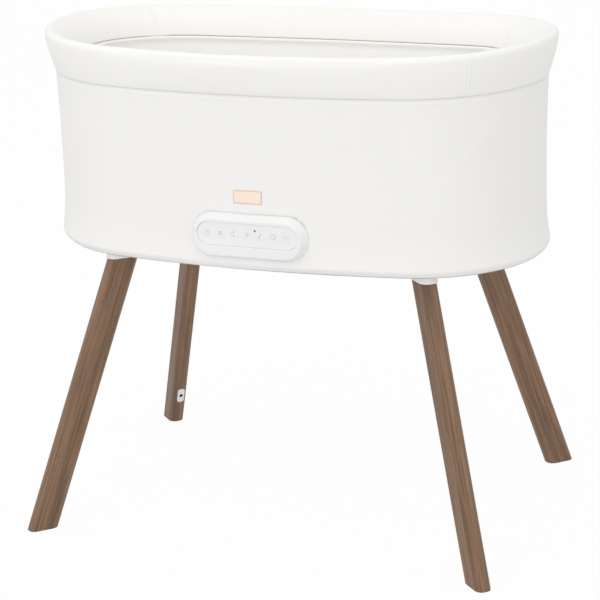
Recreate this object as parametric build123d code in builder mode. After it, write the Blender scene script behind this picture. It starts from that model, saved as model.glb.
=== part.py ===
"""Oval bassinet on four splayed legs: cloth body, padded rim, swaying bed and a seven-key control panel.

Millimetres, +Z up, X along the body, front towards -Y, origin on the floor under the middle.
"""

import os
from math import acos, asin, atan2, cos, degrees, pi, radians, sin, tan

from build123d import *

os.makedirs("parts", exist_ok=True)

# Body line: the oval that the base tray reaches at its widest
body_length = 866.0
body_width = 469.0
side_bow = 16.5

# Heights: where the cloth's hem turns under, above the floor, and the rest stacked on it
hem_height = 498.0
ledge_rise = 51.0
wall_height = 276.0
rim_depth = 67.0

# Base tray
tray_wall = 3.0
tray_floor = 4.0
tray_round = 14.0
ledge_thickness = 3.0
ledge_reach = 46.0

# Cloth walls, given as distances inside the body line
cloth_thickness = 2.4
cloth_gap = 0.4
wall_inset_tuck = 9.6
wall_inset_top = 5.4
wall_inset_waist = 7.6
wall_inset_low = 6.5
wall_low_rise = 3.0
flare_inset = 4.4
hem_inset = 0.4
hem_wrap = 60.0
cloth_step = 6.0
liner_inset_top = 28.2
liner_inset_low = 38.0
liner_low_rise = 71.0
liner_inset_foot = 40.0
liner_foot_gap = 0.3
liner_bend = 18.0

# Padded rim, given as distances outside the body line
rim_overhang = 10.8
rim_shoulder_drop = 10.0
rim_outer_round = 9.0
rim_inner_rise = 15.0
rim_lip = 2.0
rim_skirt = 4.5
rim_inner_skirt = 14.0
rim_belly = 1.5
rim_inner_belly = 10.0
hoop_radius = 8.0
hoop_inset = 19.5
hoop_drop = 42.0
post_radius = 6.0
post_foot_radius = 8.0
post_foot_height = 3.0
post_station = 190.0

# Legs
leg_end_inset = 168.6
leg_side_inset = 82.1
leg_splay_x = 128.6
leg_splay_y = 127.6
leg_depth = 49.0
leg_thickness = 28.0
leg_corner = 12.0
collar_drop = 14.0
collar_wall = 2.6
collar_gap = 0.15
collar_plate = 4.0
bolt_radius = 3.0
bolt_head_radius = 5.0
bolt_head_height = 5.0
bolt_grip = 34.0
bolt_gap = 0.1
pad_inset = 4.0
pad_thickness = 3.0
pad_proud = 1.0

# Power inlet in the rear left leg
inlet_height = 71.5
inlet_plate_width = 13.6
inlet_plate_length = 32.0
inlet_plate_thickness = 3.0
inlet_plate_proud = 0.8
inlet_plate_corner = 5.0
inlet_socket_radius = 4.5
inlet_bore_radius = 3.2
inlet_bore_depth = 10.0
inlet_socket_depth = 14.0
inlet_gap = 0.1

# Control panel
panel_rise = 43.1
panel_shift = -3.8
panel_proud = 7.0
bezel_length = 205.0
bezel_width = 80.0
bezel_flank = 9.0
bezel_rise = 18.0
bezel_soft = 3.5
recess_soft = 1.2
sleeve_wall = 3.0
sleeve_depth = 24.0
pad_length = 175.0
pad_width = 39.2
pad_recess = 2.4
pad_lift = 5.4
plate_thickness = 3.0
panel_gap = 0.3
key_count = 7
key_pitch = 23.0
key_radius = 8.7
key_gap = 0.15
key_soft = 0.12
key_row_lift = 1.2
key_flange = 1.1
key_flange_thickness = 1.2
key_stem_radius = 2.5
key_travel = 1.0
board_thickness = 1.6
panel_board_depth = 12.0
panel_boss_radius = 2.5
lens_radius = 1.6
lens_offset = 14.0
lens_lift = 7.7

# Tag on the cloth above the panel
tag_length = 49.0
tag_width = 22.0
tag_gap = 15.4
tag_shift = -5.0
tag_thickness = 1.2

# Swaying bed
bed_gap = 12.0
platform_rise = 4.0
platform_thickness = 8.0
platform_corner = 2.0
rib_station = 60.0
rib_thickness = 4.0
rib_depth = 10.0
rib_run = 260.0
hub_radius = 24.0
bush_radius = 13.0
post_pin_radius = 8.0
running_gap = 0.05
edge_break = 1.0
thrust_gap = 0.2
pivot_boss_radius = 22.0
pivot_boss_height = 12.0
pivot_boss_pocket = 8.0
pivot_top_gap = 3.0

# Sway drive
gear_module = 2.0
sector_teeth = 90
sector_teeth_cut = 11
pinion_teeth = 15
pressure_angle = 20.0
gear_width = 8.0
gear_drop = 8.0
gear_backlash = 0.5
sector_web = 16.0
pinion_lap = 1.0
shaft_radius = 4.0
shaft_depth = 22.0
gearbox_radius = 22.0
gearbox_height = 20.0
gearbox_gap = 2.0
motor_radius = 18.0
motor_flange_length = 66.0
motor_flange_width = 30.0
motor_flange_thickness = 3.0
motor_screw_station = 27.0
screw_radius = 1.5
screw_head_radius = 3.0
screw_head_height = 2.0
screw_grip = 3.0

# Support rollers under the deck
roller_circle = 189.0
roller_angle = 37.5
roller_radius = 12.0
roller_width = 12.0
roller_gap = 0.3
roller_side_gap = 0.5
axle_radius = 3.0
cheek_thickness = 3.0
cheek_width = 16.0
bracket_base = 4.0

# Electronics
control_x = 150.0
control_length = 110.0
control_width = 70.0
control_lift = 10.0
standoff_radius = 4.0
standoff_inset = 6.0
chip_size = 22.0
chip_height = 3.0
plug_length = 26.0
plug_depth = 10.0
plug_height = 11.0
can_radius = 6.0
can_height = 16.0
speaker_x = 235.0
speaker_radius = 34.0
speaker_flange = 4.0
speaker_height = 26.0
magnet_radius = 18.0
magnet_height = 12.0
vent_length = 44.0
vent_width = 3.0
vent_pitch = 9.0
vent_count = 5

# Mattress
mattress_thickness = 42.0
mattress_crown = 6.0
mattress_gap = 0.3
mattress_edge = 6.0
mattress_draw = 2.4
crown_reach = 66.0

# Worked out from the sizes above
half_length = body_length / 2
half_width = body_width / 2
end_radius = half_width - side_bow
end_center = half_length - end_radius
side_center = (end_center**2 - side_bow**2) / (2 * side_bow)
side_radius = side_center + half_width
seam_angle = degrees(atan2(side_center, end_center))
body_arcs = [
    (Vector(end_center, 0), end_radius, -seam_angle, 2 * seam_angle),
    (Vector(0, -side_center), side_radius, seam_angle, 180 - 2 * seam_angle),
    (Vector(-end_center, 0), end_radius, 180 - seam_angle, 2 * seam_angle),
    (Vector(0, side_center), side_radius, 180 + seam_angle, 180 - 2 * seam_angle),
]
tray_underside = hem_height - tray_round
hem_turn = tray_round - hem_inset
hem_low = hem_height - hem_turn * sin(radians(hem_wrap))
ledge_height = hem_height + ledge_rise
rim_underside = hem_height + wall_height
rim_top = rim_underside + rim_depth
panel_height = hem_height + panel_rise
wall_low_height = ledge_height + wall_low_rise
liner_low_height = ledge_height + liner_low_rise
rim_inner_low = rim_underside + rim_inner_rise
seat_x = half_length - leg_end_inset
seat_y = half_width - leg_side_inset
foot_x = seat_x + leg_splay_x
foot_y = seat_y + leg_splay_y
tag_height = panel_height + bezel_width / 2 + tag_gap + tag_width / 2
floor_height = tray_underside + tray_floor
leg_top = tray_underside - collar_plate
collar_low = tray_underside - collar_drop
platform_low = ledge_height + platform_rise
platform_high = platform_low + platform_thickness
bed_inset = liner_inset_foot + cloth_thickness + bed_gap
boss_height = floor_height + pivot_boss_height
hub_low = boss_height + thrust_gap
hoop_height = rim_top - hoop_drop
corners = {
    "front_left": (-1, -1),
    "front_right": (1, -1),
    "rear_left": (-1, 1),
    "rear_right": (1, 1),
}


def keep(shape, name):
    """Label a finished piece and write it to its own file."""
    shape.label = name
    export_step(shape, f"parts/{name}.step")


def oval_face(grow):
    """The body line moved outwards by grow, as a flat face."""
    with BuildSketch() as outline:
        with BuildLine():
            for center, radius, start, turn in body_arcs:
                CenterArc(center, radius + grow, start, turn)
        make_face()
    return outline.sketch


def oval_plate(grow, low, high):
    """A level plate on the body line moved outwards by grow."""
    with BuildPart() as plate:
        with BuildSketch(Plane.XY.offset(low)):
            add(oval_face(grow))
        extrude(amount=high - low)
    return plate.part


def oval_ring(profile):
    """Carry a profile, drawn as outwards and up, once round the four arcs of the body line."""
    with BuildPart() as ring:
        for center, radius, start, turn in body_arcs:
            outward = Vector(cos(radians(start)), sin(radians(start)), 0)
            along = outward.cross(Vector(0, 0, 1))
            arc_plane = Plane(origin=center + outward * radius, x_dir=outward, z_dir=along)
            with BuildSketch(arc_plane):
                add(profile)
            revolve(axis=Axis(center, (0, 0, 1)), revolution_arc=turn)
    return ring.part


def front_line(x, grow):
    """The y of the front wall at x, on the body line moved outwards by grow."""
    radius = side_radius + grow
    return side_center - radius * cos(asin(x / radius))


def leg_line(corner):
    """A leg's foot point, its unit axis upwards and its level sideways direction."""
    side_x, side_y = corners[corner]
    foot = Vector(side_x * foot_x, side_y * foot_y, 0)
    seat = Vector(side_x * seat_x, side_y * seat_y, tray_underside)
    axis = (seat - foot).normalized()
    sideways = Vector(0, 0, 1).cross(axis).normalized()
    return foot, axis, sideways


def leg_point(corner, height):
    """Where a leg's middle line crosses a height."""
    foot, axis, sideways = leg_line(corner)
    return foot + axis * (height / axis.Z)


def leg_bar(corner, grow, low, high):
    """A bar on a leg's line, its section grown sideways by grow, cut level at two heights."""
    foot, axis, sideways = leg_line(corner)
    start = leg_point(corner, low) - axis * leg_depth
    with BuildPart() as bar:
        with BuildSketch(Plane(origin=start, x_dir=sideways, z_dir=axis)):
            RectangleRounded(leg_thickness + 2 * grow, leg_depth + 2 * grow, leg_corner + grow)
        extrude(amount=(high - low) / axis.Z + 2 * leg_depth)
        split(bisect_by=Plane.XY.offset(low), keep=Keep.TOP)
        split(bisect_by=Plane.XY.offset(high), keep=Keep.BOTTOM)
    return bar.part


def pill_block(plane, length, width, back, front):
    """A pill-shaped block between two depths of a plane, front being along its normal."""
    with BuildPart() as block:
        with BuildSketch(plane.offset(back)):
            SlotOverall(length, width)
        extrude(amount=front - back)
    return block.part


def cloth_profile(grow, thickness):
    """The outer cloth wall's profile, grown outwards by grow: tuck, step, waist, flare and turned hem."""
    top_height = rim_underside - cloth_step
    waist_height = (top_height + wall_low_height) / 2
    flare_height = (wall_low_height + hem_height) / 2
    with BuildSketch() as profile:
        with BuildLine():
            for inward in (0, thickness):
                shift = grow - inward
                tuck = (shift - wall_inset_tuck, hoop_height - hoop_radius / 2)
                step = (shift - wall_inset_tuck, rim_underside)
                top = (shift - wall_inset_top, top_height)
                waist = (shift - wall_inset_waist, waist_height)
                low = (shift - wall_inset_low, wall_low_height)
                flare = (shift - flare_inset, flare_height)
                hem = (shift - hem_inset, hem_height)
                Polyline(tuck, step, top)
                ThreePointArc(top, waist, low)
                ThreePointArc(low, flare, hem)
                CenterArc((shift - tray_round, hem_height), hem_turn, -hem_wrap, hem_wrap)
            hem_end = grow - tray_round + hem_turn * cos(radians(hem_wrap))
            Line((hem_end, hem_low), (hem_end - thickness, hem_low))
            Line((grow - wall_inset_tuck, tuck[1]), (grow - thickness - wall_inset_tuck, tuck[1]))
        make_face()
    return profile.sketch


# Control panel's frame: x to the right, y up, normal out of the front; the recess stands a little higher
panel_plane = Plane(
    origin=(panel_shift, -half_width - panel_proud, panel_height),
    x_dir=(1, 0, 0),
    z_dir=(0, -1, 0),
)
pad_plane = Plane(
    origin=panel_plane.origin + Vector(0, 0, pad_lift),
    x_dir=panel_plane.x_dir,
    z_dir=panel_plane.z_dir,
)
sleeve_length = pad_length + 2 * sleeve_wall
sleeve_width = pad_width + 2 * sleeve_wall
key_places = [((i - (key_count - 1) / 2) * key_pitch, key_row_lift) for i in range(key_count)]
plate_front = -pad_recess
plate_back = plate_front - plate_thickness

# Gears: the sector turns about the middle, the pinion stands beside it on the left
sector_pitch = gear_module * sector_teeth / 2
pinion_pitch = gear_module * pinion_teeth / 2
pinion_x = -(sector_pitch + pinion_pitch)
gear_high = platform_low - gear_drop
gear_low = gear_high - gear_width


def gear_tooth(teeth, middle):
    """One involute tooth about the origin, pointing at the angle middle, as a flat face."""
    pitch = gear_module * teeth / 2
    base = pitch * cos(radians(pressure_angle))
    tip = pitch + gear_module
    root = pitch - 1.25 * gear_module
    half_tooth = (pi * gear_module / 2 - gear_backlash) / (2 * pitch)
    involute_pitch = tan(radians(pressure_angle)) - radians(pressure_angle)

    def flank_angle(radius):
        lean = acos(min(1.0, base / radius))
        return half_tooth + involute_pitch - (tan(lean) - lean)

    def flank_point(radius, side):
        turn = radians(middle) + side * flank_angle(max(radius, base))
        return Vector(radius * cos(turn), radius * sin(turn))

    with BuildSketch() as tooth:
        with BuildLine():
            for side in (-1, 1):
                Line(flank_point(root - gear_module / 2, side), flank_point(root, side))
                Line(flank_point(root, side), flank_point(max(base, root + 0.2), side))
                ThreePointArc(
                    flank_point(max(base, root + 0.2), side),
                    flank_point(pitch, side),
                    flank_point(tip, side),
                )
            Line(flank_point(tip, -1), flank_point(tip, 1))
            Line(flank_point(root - gear_module / 2, -1), flank_point(root - gear_module / 2, 1))
        make_face()
    return tooth.sketch


def root_radius(teeth):
    """The radius at the bottom of a gear's teeth."""
    return gear_module * teeth / 2 - 1.25 * gear_module


# Roller places: a level axle pointing at the middle under each quarter of the deck
roller_axle_height = platform_low - roller_gap - roller_radius
roller_planes = []
for turn in (roller_angle, 180 - roller_angle, 180 + roller_angle, 360 - roller_angle):
    outward = Vector(cos(radians(turn)), sin(radians(turn)), 0)
    place = outward * roller_circle + Vector(0, 0, roller_axle_height)
    roller_planes.append(Plane(origin=place, x_dir=Vector(0, 0, 1).cross(outward), z_dir=outward))

# Base tray: rounded-under wall with a lip below the hem, inward ledge, floor, bosses, vents and panel window
with BuildSketch() as tray_profile:
    with BuildLine():
        hem_step = cloth_thickness + hem_inset + cloth_gap
        top_step = wall_inset_low + cloth_thickness + cloth_gap
        lip_drop = hem_height - hem_low + cloth_gap
        lip_turn = asin(lip_drop / tray_round)
        seat_turn = asin(lip_drop / hem_turn)
        seat_middle = -hem_step - hem_turn
        Line((-tray_round, floor_height), (-tray_round, tray_underside))
        CenterArc((-tray_round, hem_height), tray_round, -90, 90 - degrees(lip_turn))
        Line(
            (tray_round * (cos(lip_turn) - 1), hem_low - cloth_gap),
            (seat_middle + hem_turn * cos(seat_turn), hem_low - cloth_gap),
        )
        CenterArc((seat_middle, hem_height), hem_turn, -degrees(seat_turn), degrees(seat_turn))
        ThreePointArc(
            (-hem_step, hem_height),
            (-flare_inset - cloth_thickness - cloth_gap, (wall_low_height + hem_height) / 2),
            (-top_step, ledge_height - ledge_thickness),
        )
        Polyline(
            (-top_step, ledge_height - ledge_thickness),
            (-top_step, ledge_height),
            (-ledge_reach, ledge_height),
            (-ledge_reach, ledge_height - ledge_thickness),
            (-top_step - tray_wall, ledge_height - ledge_thickness),
            (-hem_step - tray_wall, hem_height),
            (-tray_round, floor_height),
        )
    make_face()

standoff_x = control_length / 2 - standoff_inset
standoff_y = control_width / 2 - standoff_inset
standoff_places = [
    (control_x + side_x * standoff_x, side_y * standoff_y) for side_x in (-1, 1) for side_y in (-1, 1)
]
motor_screw_places = [(pinion_x, side * motor_screw_station) for side in (-1, 1)]

with BuildPart() as base_tray:
    add(oval_ring(tray_profile.sketch))
    add(oval_plate(-tray_round, tray_underside, floor_height))
    with BuildSketch(Plane.XY.offset(floor_height)):
        Circle(pivot_boss_radius)
    extrude(amount=pivot_boss_height)
    with BuildSketch(Plane.XY.offset(floor_height)):
        with Locations(*standoff_places):
            Circle(standoff_radius)
    extrude(amount=control_lift)
    with BuildSketch(Plane.XY.offset(boss_height)):
        Circle(post_pin_radius)
    extrude(amount=-pivot_boss_pocket, mode=Mode.SUBTRACT)
    with BuildSketch(Plane.XY.offset(tray_underside)):
        for corner in corners:
            bolt_at = leg_point(corner, leg_top)
            with Locations((bolt_at.X, bolt_at.Y)):
                Circle(bolt_radius + bolt_gap)
        with Locations((-speaker_x, 0)):
            with GridLocations(0, vent_pitch, 1, vent_count):
                SlotOverall(vent_length, vent_width)
    extrude(amount=tray_floor, mode=Mode.SUBTRACT)
    with BuildSketch(Plane.XY.offset(floor_height)):
        with Locations(*motor_screw_places):
            Circle(screw_radius)
    extrude(amount=-screw_grip, mode=Mode.SUBTRACT)
    with BuildSketch(Plane.XY.offset(floor_height + control_lift)):
        with Locations(*standoff_places):
            Circle(screw_radius)
    extrude(amount=-screw_grip, mode=Mode.SUBTRACT)
    add(
        pill_block(
            pad_plane,
            sleeve_length + 2 * panel_gap,
            sleeve_width + 2 * panel_gap,
            -sleeve_depth - panel_gap,
            0,
        ),
        mode=Mode.SUBTRACT,
    )
keep(base_tray.part, "base_tray")

# Legs, their collars, bolts and foot pads
inlet_foot, inlet_axis, inlet_sideways = leg_line("rear_left")
inlet_outward = inlet_sideways.cross(inlet_axis)
inlet_plane = Plane(
    origin=leg_point("rear_left", inlet_height) + inlet_outward * (leg_depth / 2),
    x_dir=-inlet_sideways,
    z_dir=inlet_outward,
)
inlet_pocket_depth = inlet_plate_thickness - inlet_plate_proud

for corner in corners:
    bolt_at = leg_point(corner, leg_top)
    with BuildPart() as leg:
        add(leg_bar(corner, 0, pad_proud, leg_top))
        with BuildSketch(Plane.XY.offset(leg_top)):
            with Locations((bolt_at.X, bolt_at.Y)):
                Circle(bolt_radius + bolt_gap)
        extrude(amount=-bolt_grip, mode=Mode.SUBTRACT)
        pad_pocket = leg_bar(corner, bolt_gap - pad_inset, -pad_thickness, pad_thickness + bolt_gap)
        add(pad_pocket, mode=Mode.SUBTRACT)
        if corner == "rear_left":
            with BuildSketch(inlet_plane):
                RectangleRounded(
                    inlet_plate_width + 2 * inlet_gap,
                    inlet_plate_length + 2 * inlet_gap,
                    inlet_plate_corner + inlet_gap,
                )
            extrude(amount=-inlet_pocket_depth, mode=Mode.SUBTRACT)
            with BuildSketch(inlet_plane.offset(-inlet_pocket_depth)):
                Circle(inlet_socket_radius + inlet_gap)
            extrude(amount=-inlet_socket_depth, mode=Mode.SUBTRACT)
    keep(leg.part, f"leg_{corner}")

    with BuildPart() as collar:
        add(leg_bar(corner, collar_gap + collar_wall, collar_low, tray_underside))
        add(leg_bar(corner, collar_gap, collar_low - collar_drop, leg_top), mode=Mode.SUBTRACT)
        with BuildSketch(Plane.XY.offset(tray_underside)):
            with Locations((bolt_at.X, bolt_at.Y)):
                Circle(bolt_radius + bolt_gap)
        extrude(amount=-collar_plate, mode=Mode.SUBTRACT)
    keep(collar.part, f"leg_collar_{corner}")

with BuildPart() as leg_bolts:
    for corner in corners:
        bolt_at = leg_point(corner, leg_top)
        bolt_tip = leg_top - bolt_grip + bolt_gap
        with BuildSketch(Plane((bolt_at.X, bolt_at.Y, bolt_tip))):
            Circle(bolt_radius)
        extrude(amount=floor_height - bolt_tip)
        with BuildSketch(Plane((bolt_at.X, bolt_at.Y, floor_height))):
            Circle(bolt_head_radius)
            RegularPolygon(bolt_radius * 0.8, 6, mode=Mode.SUBTRACT)
        extrude(amount=bolt_head_height)
        with BuildSketch(Plane((bolt_at.X, bolt_at.Y, floor_height))):
            Circle(bolt_radius)
        extrude(amount=bolt_head_height / 2)
keep(leg_bolts.part, "leg_bolts")

with BuildPart() as foot_pads:
    for corner in corners:
        add(leg_bar(corner, -pad_inset, 0, pad_thickness))
keep(foot_pads.part, "foot_pads")

# Power inlet: a plate let into the leg and a round socket behind it
with BuildPart() as inlet_plate:
    with BuildSketch(inlet_plane.offset(-inlet_pocket_depth)):
        RectangleRounded(inlet_plate_width, inlet_plate_length, inlet_plate_corner)
        Circle(inlet_socket_radius + inlet_gap, mode=Mode.SUBTRACT)
    extrude(amount=inlet_plate_thickness)
keep(inlet_plate.part, "inlet_plate")

with BuildPart() as inlet_socket:
    with BuildSketch(inlet_plane.offset(inlet_plate_proud)):
        Circle(inlet_socket_radius)
    extrude(amount=inlet_gap - inlet_socket_depth - inlet_plate_thickness)
    with BuildSketch(inlet_plane.offset(inlet_plate_proud)):
        Circle(inlet_bore_radius)
    extrude(amount=-inlet_bore_depth, mode=Mode.SUBTRACT)
keep(inlet_socket.part, "inlet_socket")

# Rim: a steel hoop on six posts, the padded band over it and the two cloth walls tucked into the band
with BuildSketch() as hoop_profile:
    with Locations((-hoop_inset, hoop_height)):
        Circle(hoop_radius)
rim_hoop = oval_ring(hoop_profile.sketch)
keep(rim_hoop, "rim_hoop")

post_places = [(side * (half_length - hoop_inset), 0) for side in (-1, 1)]
for side_x in (-1, 1):
    for side_y in (-1, 1):
        post_places.append((side_x * post_station, side_y * front_line(post_station, -hoop_inset)))
with BuildPart() as rim_posts:
    with BuildSketch(Plane.XY.offset(ledge_height)):
        with Locations(*post_places):
            Circle(post_foot_radius)
    extrude(amount=post_foot_height)
    with BuildSketch(Plane.XY.offset(ledge_height)):
        with Locations(*post_places):
            Circle(post_radius)
    extrude(amount=hoop_height - ledge_height)
    add(rim_hoop, mode=Mode.SUBTRACT)
keep(rim_posts.part, "rim_posts")

slot_outer = cloth_gap - wall_inset_tuck
slot_inner = -liner_inset_top - cloth_thickness - cloth_gap
slot_top = hoop_height + hoop_radius + cloth_gap
shoulder = rim_top - rim_shoulder_drop
crest_outer = (rim_overhang - rim_outer_round, rim_top)
with BuildSketch() as pad_profile:
    with BuildLine():
        face_low = (slot_outer + rim_skirt, rim_underside)
        face_high = (rim_overhang, shoulder)
        face_mid = (
            (face_low[0] + face_high[0]) / 2 + rim_belly,
            (face_low[1] + face_high[1]) / 2,
        )
        Polyline(
            (slot_outer, slot_top),
            (slot_outer, rim_underside + rim_lip),
            (slot_outer + rim_lip, rim_underside),
            face_low,
        )
        ThreePointArc(face_low, face_mid, face_high)
        corner_fall = 1 - sin(radians(45))
        ThreePointArc(
            face_high,
            (rim_overhang - rim_outer_round * corner_fall, rim_top - rim_shoulder_drop * corner_fall),
            crest_outer,
        )
        back_low = (slot_inner - rim_inner_skirt, rim_inner_low)
        slope = Vector(back_low) - Vector(crest_outer)
        bulge = Vector(slope.Y, -slope.X).normalized() * rim_inner_belly
        ThreePointArc(crest_outer, Vector(crest_outer) + slope / 2 + bulge, back_low)
        Polyline(
            back_low,
            (slot_inner - rim_lip, rim_inner_low),
            (slot_inner, rim_inner_low + rim_lip),
            (slot_inner, slot_top),
            (slot_outer, slot_top),
        )
    make_face()
keep(oval_ring(pad_profile.sketch), "rim_pad")

with BuildPart() as side_fabric:
    add(oval_ring(cloth_profile(0, cloth_thickness)))
    add(
        pill_block(
            pad_plane,
            sleeve_length + 2 * panel_gap,
            sleeve_width + 2 * panel_gap,
            -sleeve_depth,
            sleeve_depth,
        ),
        mode=Mode.SUBTRACT,
    )
keep(side_fabric.part, "side_fabric")

with BuildSketch() as liner_profile:
    with BuildLine():
        Polyline(
            (-liner_inset_top, slot_top - cloth_gap),
            (-liner_inset_top, rim_inner_low - liner_bend),
            (-liner_inset_low, liner_low_height),
            (-liner_inset_foot, ledge_height + liner_foot_gap),
            (-liner_inset_foot - cloth_thickness, ledge_height + liner_foot_gap),
            (-liner_inset_low - cloth_thickness, liner_low_height),
            (-liner_inset_top - cloth_thickness, rim_inner_low - liner_bend),
            (-liner_inset_top - cloth_thickness, slot_top - cloth_gap),
            close=True,
        )
    make_face()
keep(oval_ring(liner_profile.sketch), "inner_liner")

# Tag: a small flat patch that follows the cloth
tag_profile = cloth_profile(cloth_gap + tag_thickness, tag_thickness)
with BuildPart() as side_tag:
    with BuildSketch(Plane.XZ.offset(half_width - 2 * wall_inset_waist)):
        with Locations((tag_shift, tag_height)):
            Rectangle(tag_length, tag_width)
    extrude(amount=2 * wall_inset_waist)
    add(oval_ring(tag_profile), mode=Mode.INTERSECT)
keep(side_tag.part, "side_tag")

# Panel bezel: a raised pill whose flank meets the cloth, with a sleeve through the wall
outside_wall = cloth_profile(cloth_gap, bezel_width)
with BuildPart() as panel_bezel:
    with BuildSketch(panel_plane.offset(-bezel_rise)):
        SlotOverall(bezel_length, bezel_width)
    extrude(amount=bezel_rise, taper=degrees(atan2(bezel_flank, bezel_rise)))
    add(oval_ring(outside_wall), mode=Mode.SUBTRACT)
    add(pill_block(pad_plane, sleeve_length, sleeve_width, -sleeve_depth, -bezel_soft))
    add(pill_block(pad_plane, pad_length, pad_width, -sleeve_depth, bezel_rise), mode=Mode.SUBTRACT)
    front_face = panel_bezel.faces().sort_by(Axis.Y)[0]
    fillet(front_face.outer_wire().edges(), radius=bezel_soft)
    front_face = panel_bezel.faces().sort_by(Axis.Y)[0]
    fillet(front_face.inner_wires()[0].edges(), radius=recess_soft)
keep(panel_bezel.part, "panel_bezel")

boss_column = key_pitch * (key_count // 2 - 0.5)
boss_places = [(side * boss_column, key_row_lift) for side in (-1, 1)]
lens_place = (lens_offset, key_row_lift + lens_lift)
with BuildPart() as panel_plate:
    plate_length = pad_length - 2 * panel_gap
    plate_width = pad_width - 2 * panel_gap
    add(pill_block(pad_plane, plate_length, plate_width, plate_back, plate_front))
    with BuildSketch(pad_plane.offset(plate_front)):
        with Locations(*key_places):
            Circle(key_radius + key_gap)
        with Locations(lens_place):
            Circle(lens_radius)
    extrude(amount=-plate_thickness, mode=Mode.SUBTRACT)
    with BuildSketch(pad_plane.offset(plate_back)):
        with Locations(*boss_places):
            with GridLocations(0, 2 * (key_radius + panel_boss_radius), 1, 2):
                Circle(panel_boss_radius)
    extrude(amount=-(panel_board_depth + plate_back))
keep(panel_plate.part, "panel_plate")

# Keys: flush caps held behind the plate by a flange, each with a stem over its switch
for number, place in enumerate(key_places, start=1):
    key_origin = pad_plane.offset(plate_front).location * Location((place[0], place[1], 0))
    key_front = Plane(key_origin)
    with BuildPart() as key:
        with BuildSketch(key_front):
            Circle(key_radius)
        extrude(amount=-plate_thickness - panel_gap)
        chamfer(key.faces().sort_by(Axis.Y)[0].edges(), length=key_soft)
        with BuildSketch(key_front.offset(-plate_thickness - panel_gap)):
            Circle(key_radius + key_flange)
        extrude(amount=-key_flange_thickness)
        with BuildSketch(key_front.offset(-plate_thickness - panel_gap)):
            Circle(key_stem_radius)
        extrude(amount=-(panel_board_depth + plate_back - 2 * panel_gap - key_travel))
    keep(key.part, f"key_{number}")

with BuildPart() as panel_lens:
    with BuildSketch(pad_plane.offset(plate_front)):
        with Locations(lens_place):
            Circle(lens_radius)
    extrude(amount=-plate_thickness)
keep(panel_lens.part, "panel_lens")

with BuildPart() as panel_board:
    add(
        pill_block(
            pad_plane,
            pad_length - 4 * panel_gap,
            pad_width - 4 * panel_gap,
            -panel_board_depth - board_thickness,
            -panel_board_depth,
        )
    )
keep(panel_board.part, "panel_board")

# Swaying bed: ribbed deck on a hub and bush, turning on a post
with BuildPart() as sway_platform:
    add(oval_plate(-bed_inset, platform_low, platform_high))
    fillet(sway_platform.faces().sort_by(Axis.Z)[-1].edges(), radius=platform_corner)
    with BuildSketch(Plane.XY.offset(platform_low)):
        with GridLocations(0, 2 * rib_station, 1, 2):
            Rectangle(2 * rib_run, rib_thickness)
    extrude(amount=-rib_depth)
    with BuildSketch(Plane.XY.offset(hub_low)):
        Circle(hub_radius)
    extrude(amount=platform_low - hub_low)
    pivot_top = platform_low - pivot_top_gap
    with BuildSketch(Plane.XY.offset(hub_low)):
        Circle(bush_radius)
    extrude(amount=pivot_top + pivot_top_gap - hub_low, mode=Mode.SUBTRACT)
keep(sway_platform.part, "sway_platform")

with BuildPart() as pivot_bush:
    with BuildSketch(Plane.XY.offset(hub_low)):
        Circle(bush_radius)
        Circle(post_pin_radius + running_gap, mode=Mode.SUBTRACT)
    extrude(amount=pivot_top - hub_low)
keep(pivot_bush.part, "pivot_bush")

with BuildPart() as pivot_post:
    with BuildSketch(Plane.XY.offset(boss_height - pivot_boss_pocket)):
        Circle(post_pin_radius)
    extrude(amount=pivot_top - boss_height + pivot_boss_pocket)
    chamfer(pivot_post.faces().sort_by(Axis.Z)[-1].edges(), length=edge_break)
keep(pivot_post.part, "pivot_post")

# Sway drive: a gear sector under the deck, a pinion on the gear motor's shaft
tooth_turn = 360 / sector_teeth
sector_span = (sector_teeth_cut + 1) * tooth_turn
with BuildPart() as gear_sector:
    with BuildSketch(Plane.XY.offset(gear_low)):
        with BuildLine():
            web = root_radius(sector_teeth)
            CenterArc((0, 0), web, 180 - sector_span / 2, sector_span)
            CenterArc((0, 0), web - sector_web, 180 - sector_span / 2, sector_span)
            for side in (-1, 1):
                edge = radians(180 + side * sector_span / 2)
                Line(
                    ((web - sector_web) * cos(edge), (web - sector_web) * sin(edge)),
                    (web * cos(edge), web * sin(edge)),
                )
        make_face()
        for i in range(sector_teeth_cut):
            add(gear_tooth(sector_teeth, 180 + (i - (sector_teeth_cut - 1) / 2) * tooth_turn))
    extrude(amount=gear_width)
    with BuildSketch(Plane.XY.offset(gear_high)):
        with Locations((sector_web / 2 - web, 0)):
            Rectangle(sector_web / 2, web * sin(radians(sector_span / 2)))
    extrude(amount=gear_drop)
keep(gear_sector.part, "gear_sector")

pinion_turn = 360 / pinion_teeth
with BuildPart() as drive_pinion:
    with BuildSketch(Plane((pinion_x, 0, gear_low - pinion_lap))):
        Circle(root_radius(pinion_teeth))
        for i in range(pinion_teeth):
            add(gear_tooth(pinion_teeth, (i + 0.5) * pinion_turn))
    extrude(amount=gear_width + 2 * pinion_lap)
    with BuildSketch(Plane((pinion_x, 0, gear_low - pinion_lap))):
        Circle(shaft_radius)
    extrude(amount=-shaft_depth)
keep(drive_pinion.part, "drive_pinion")

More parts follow.
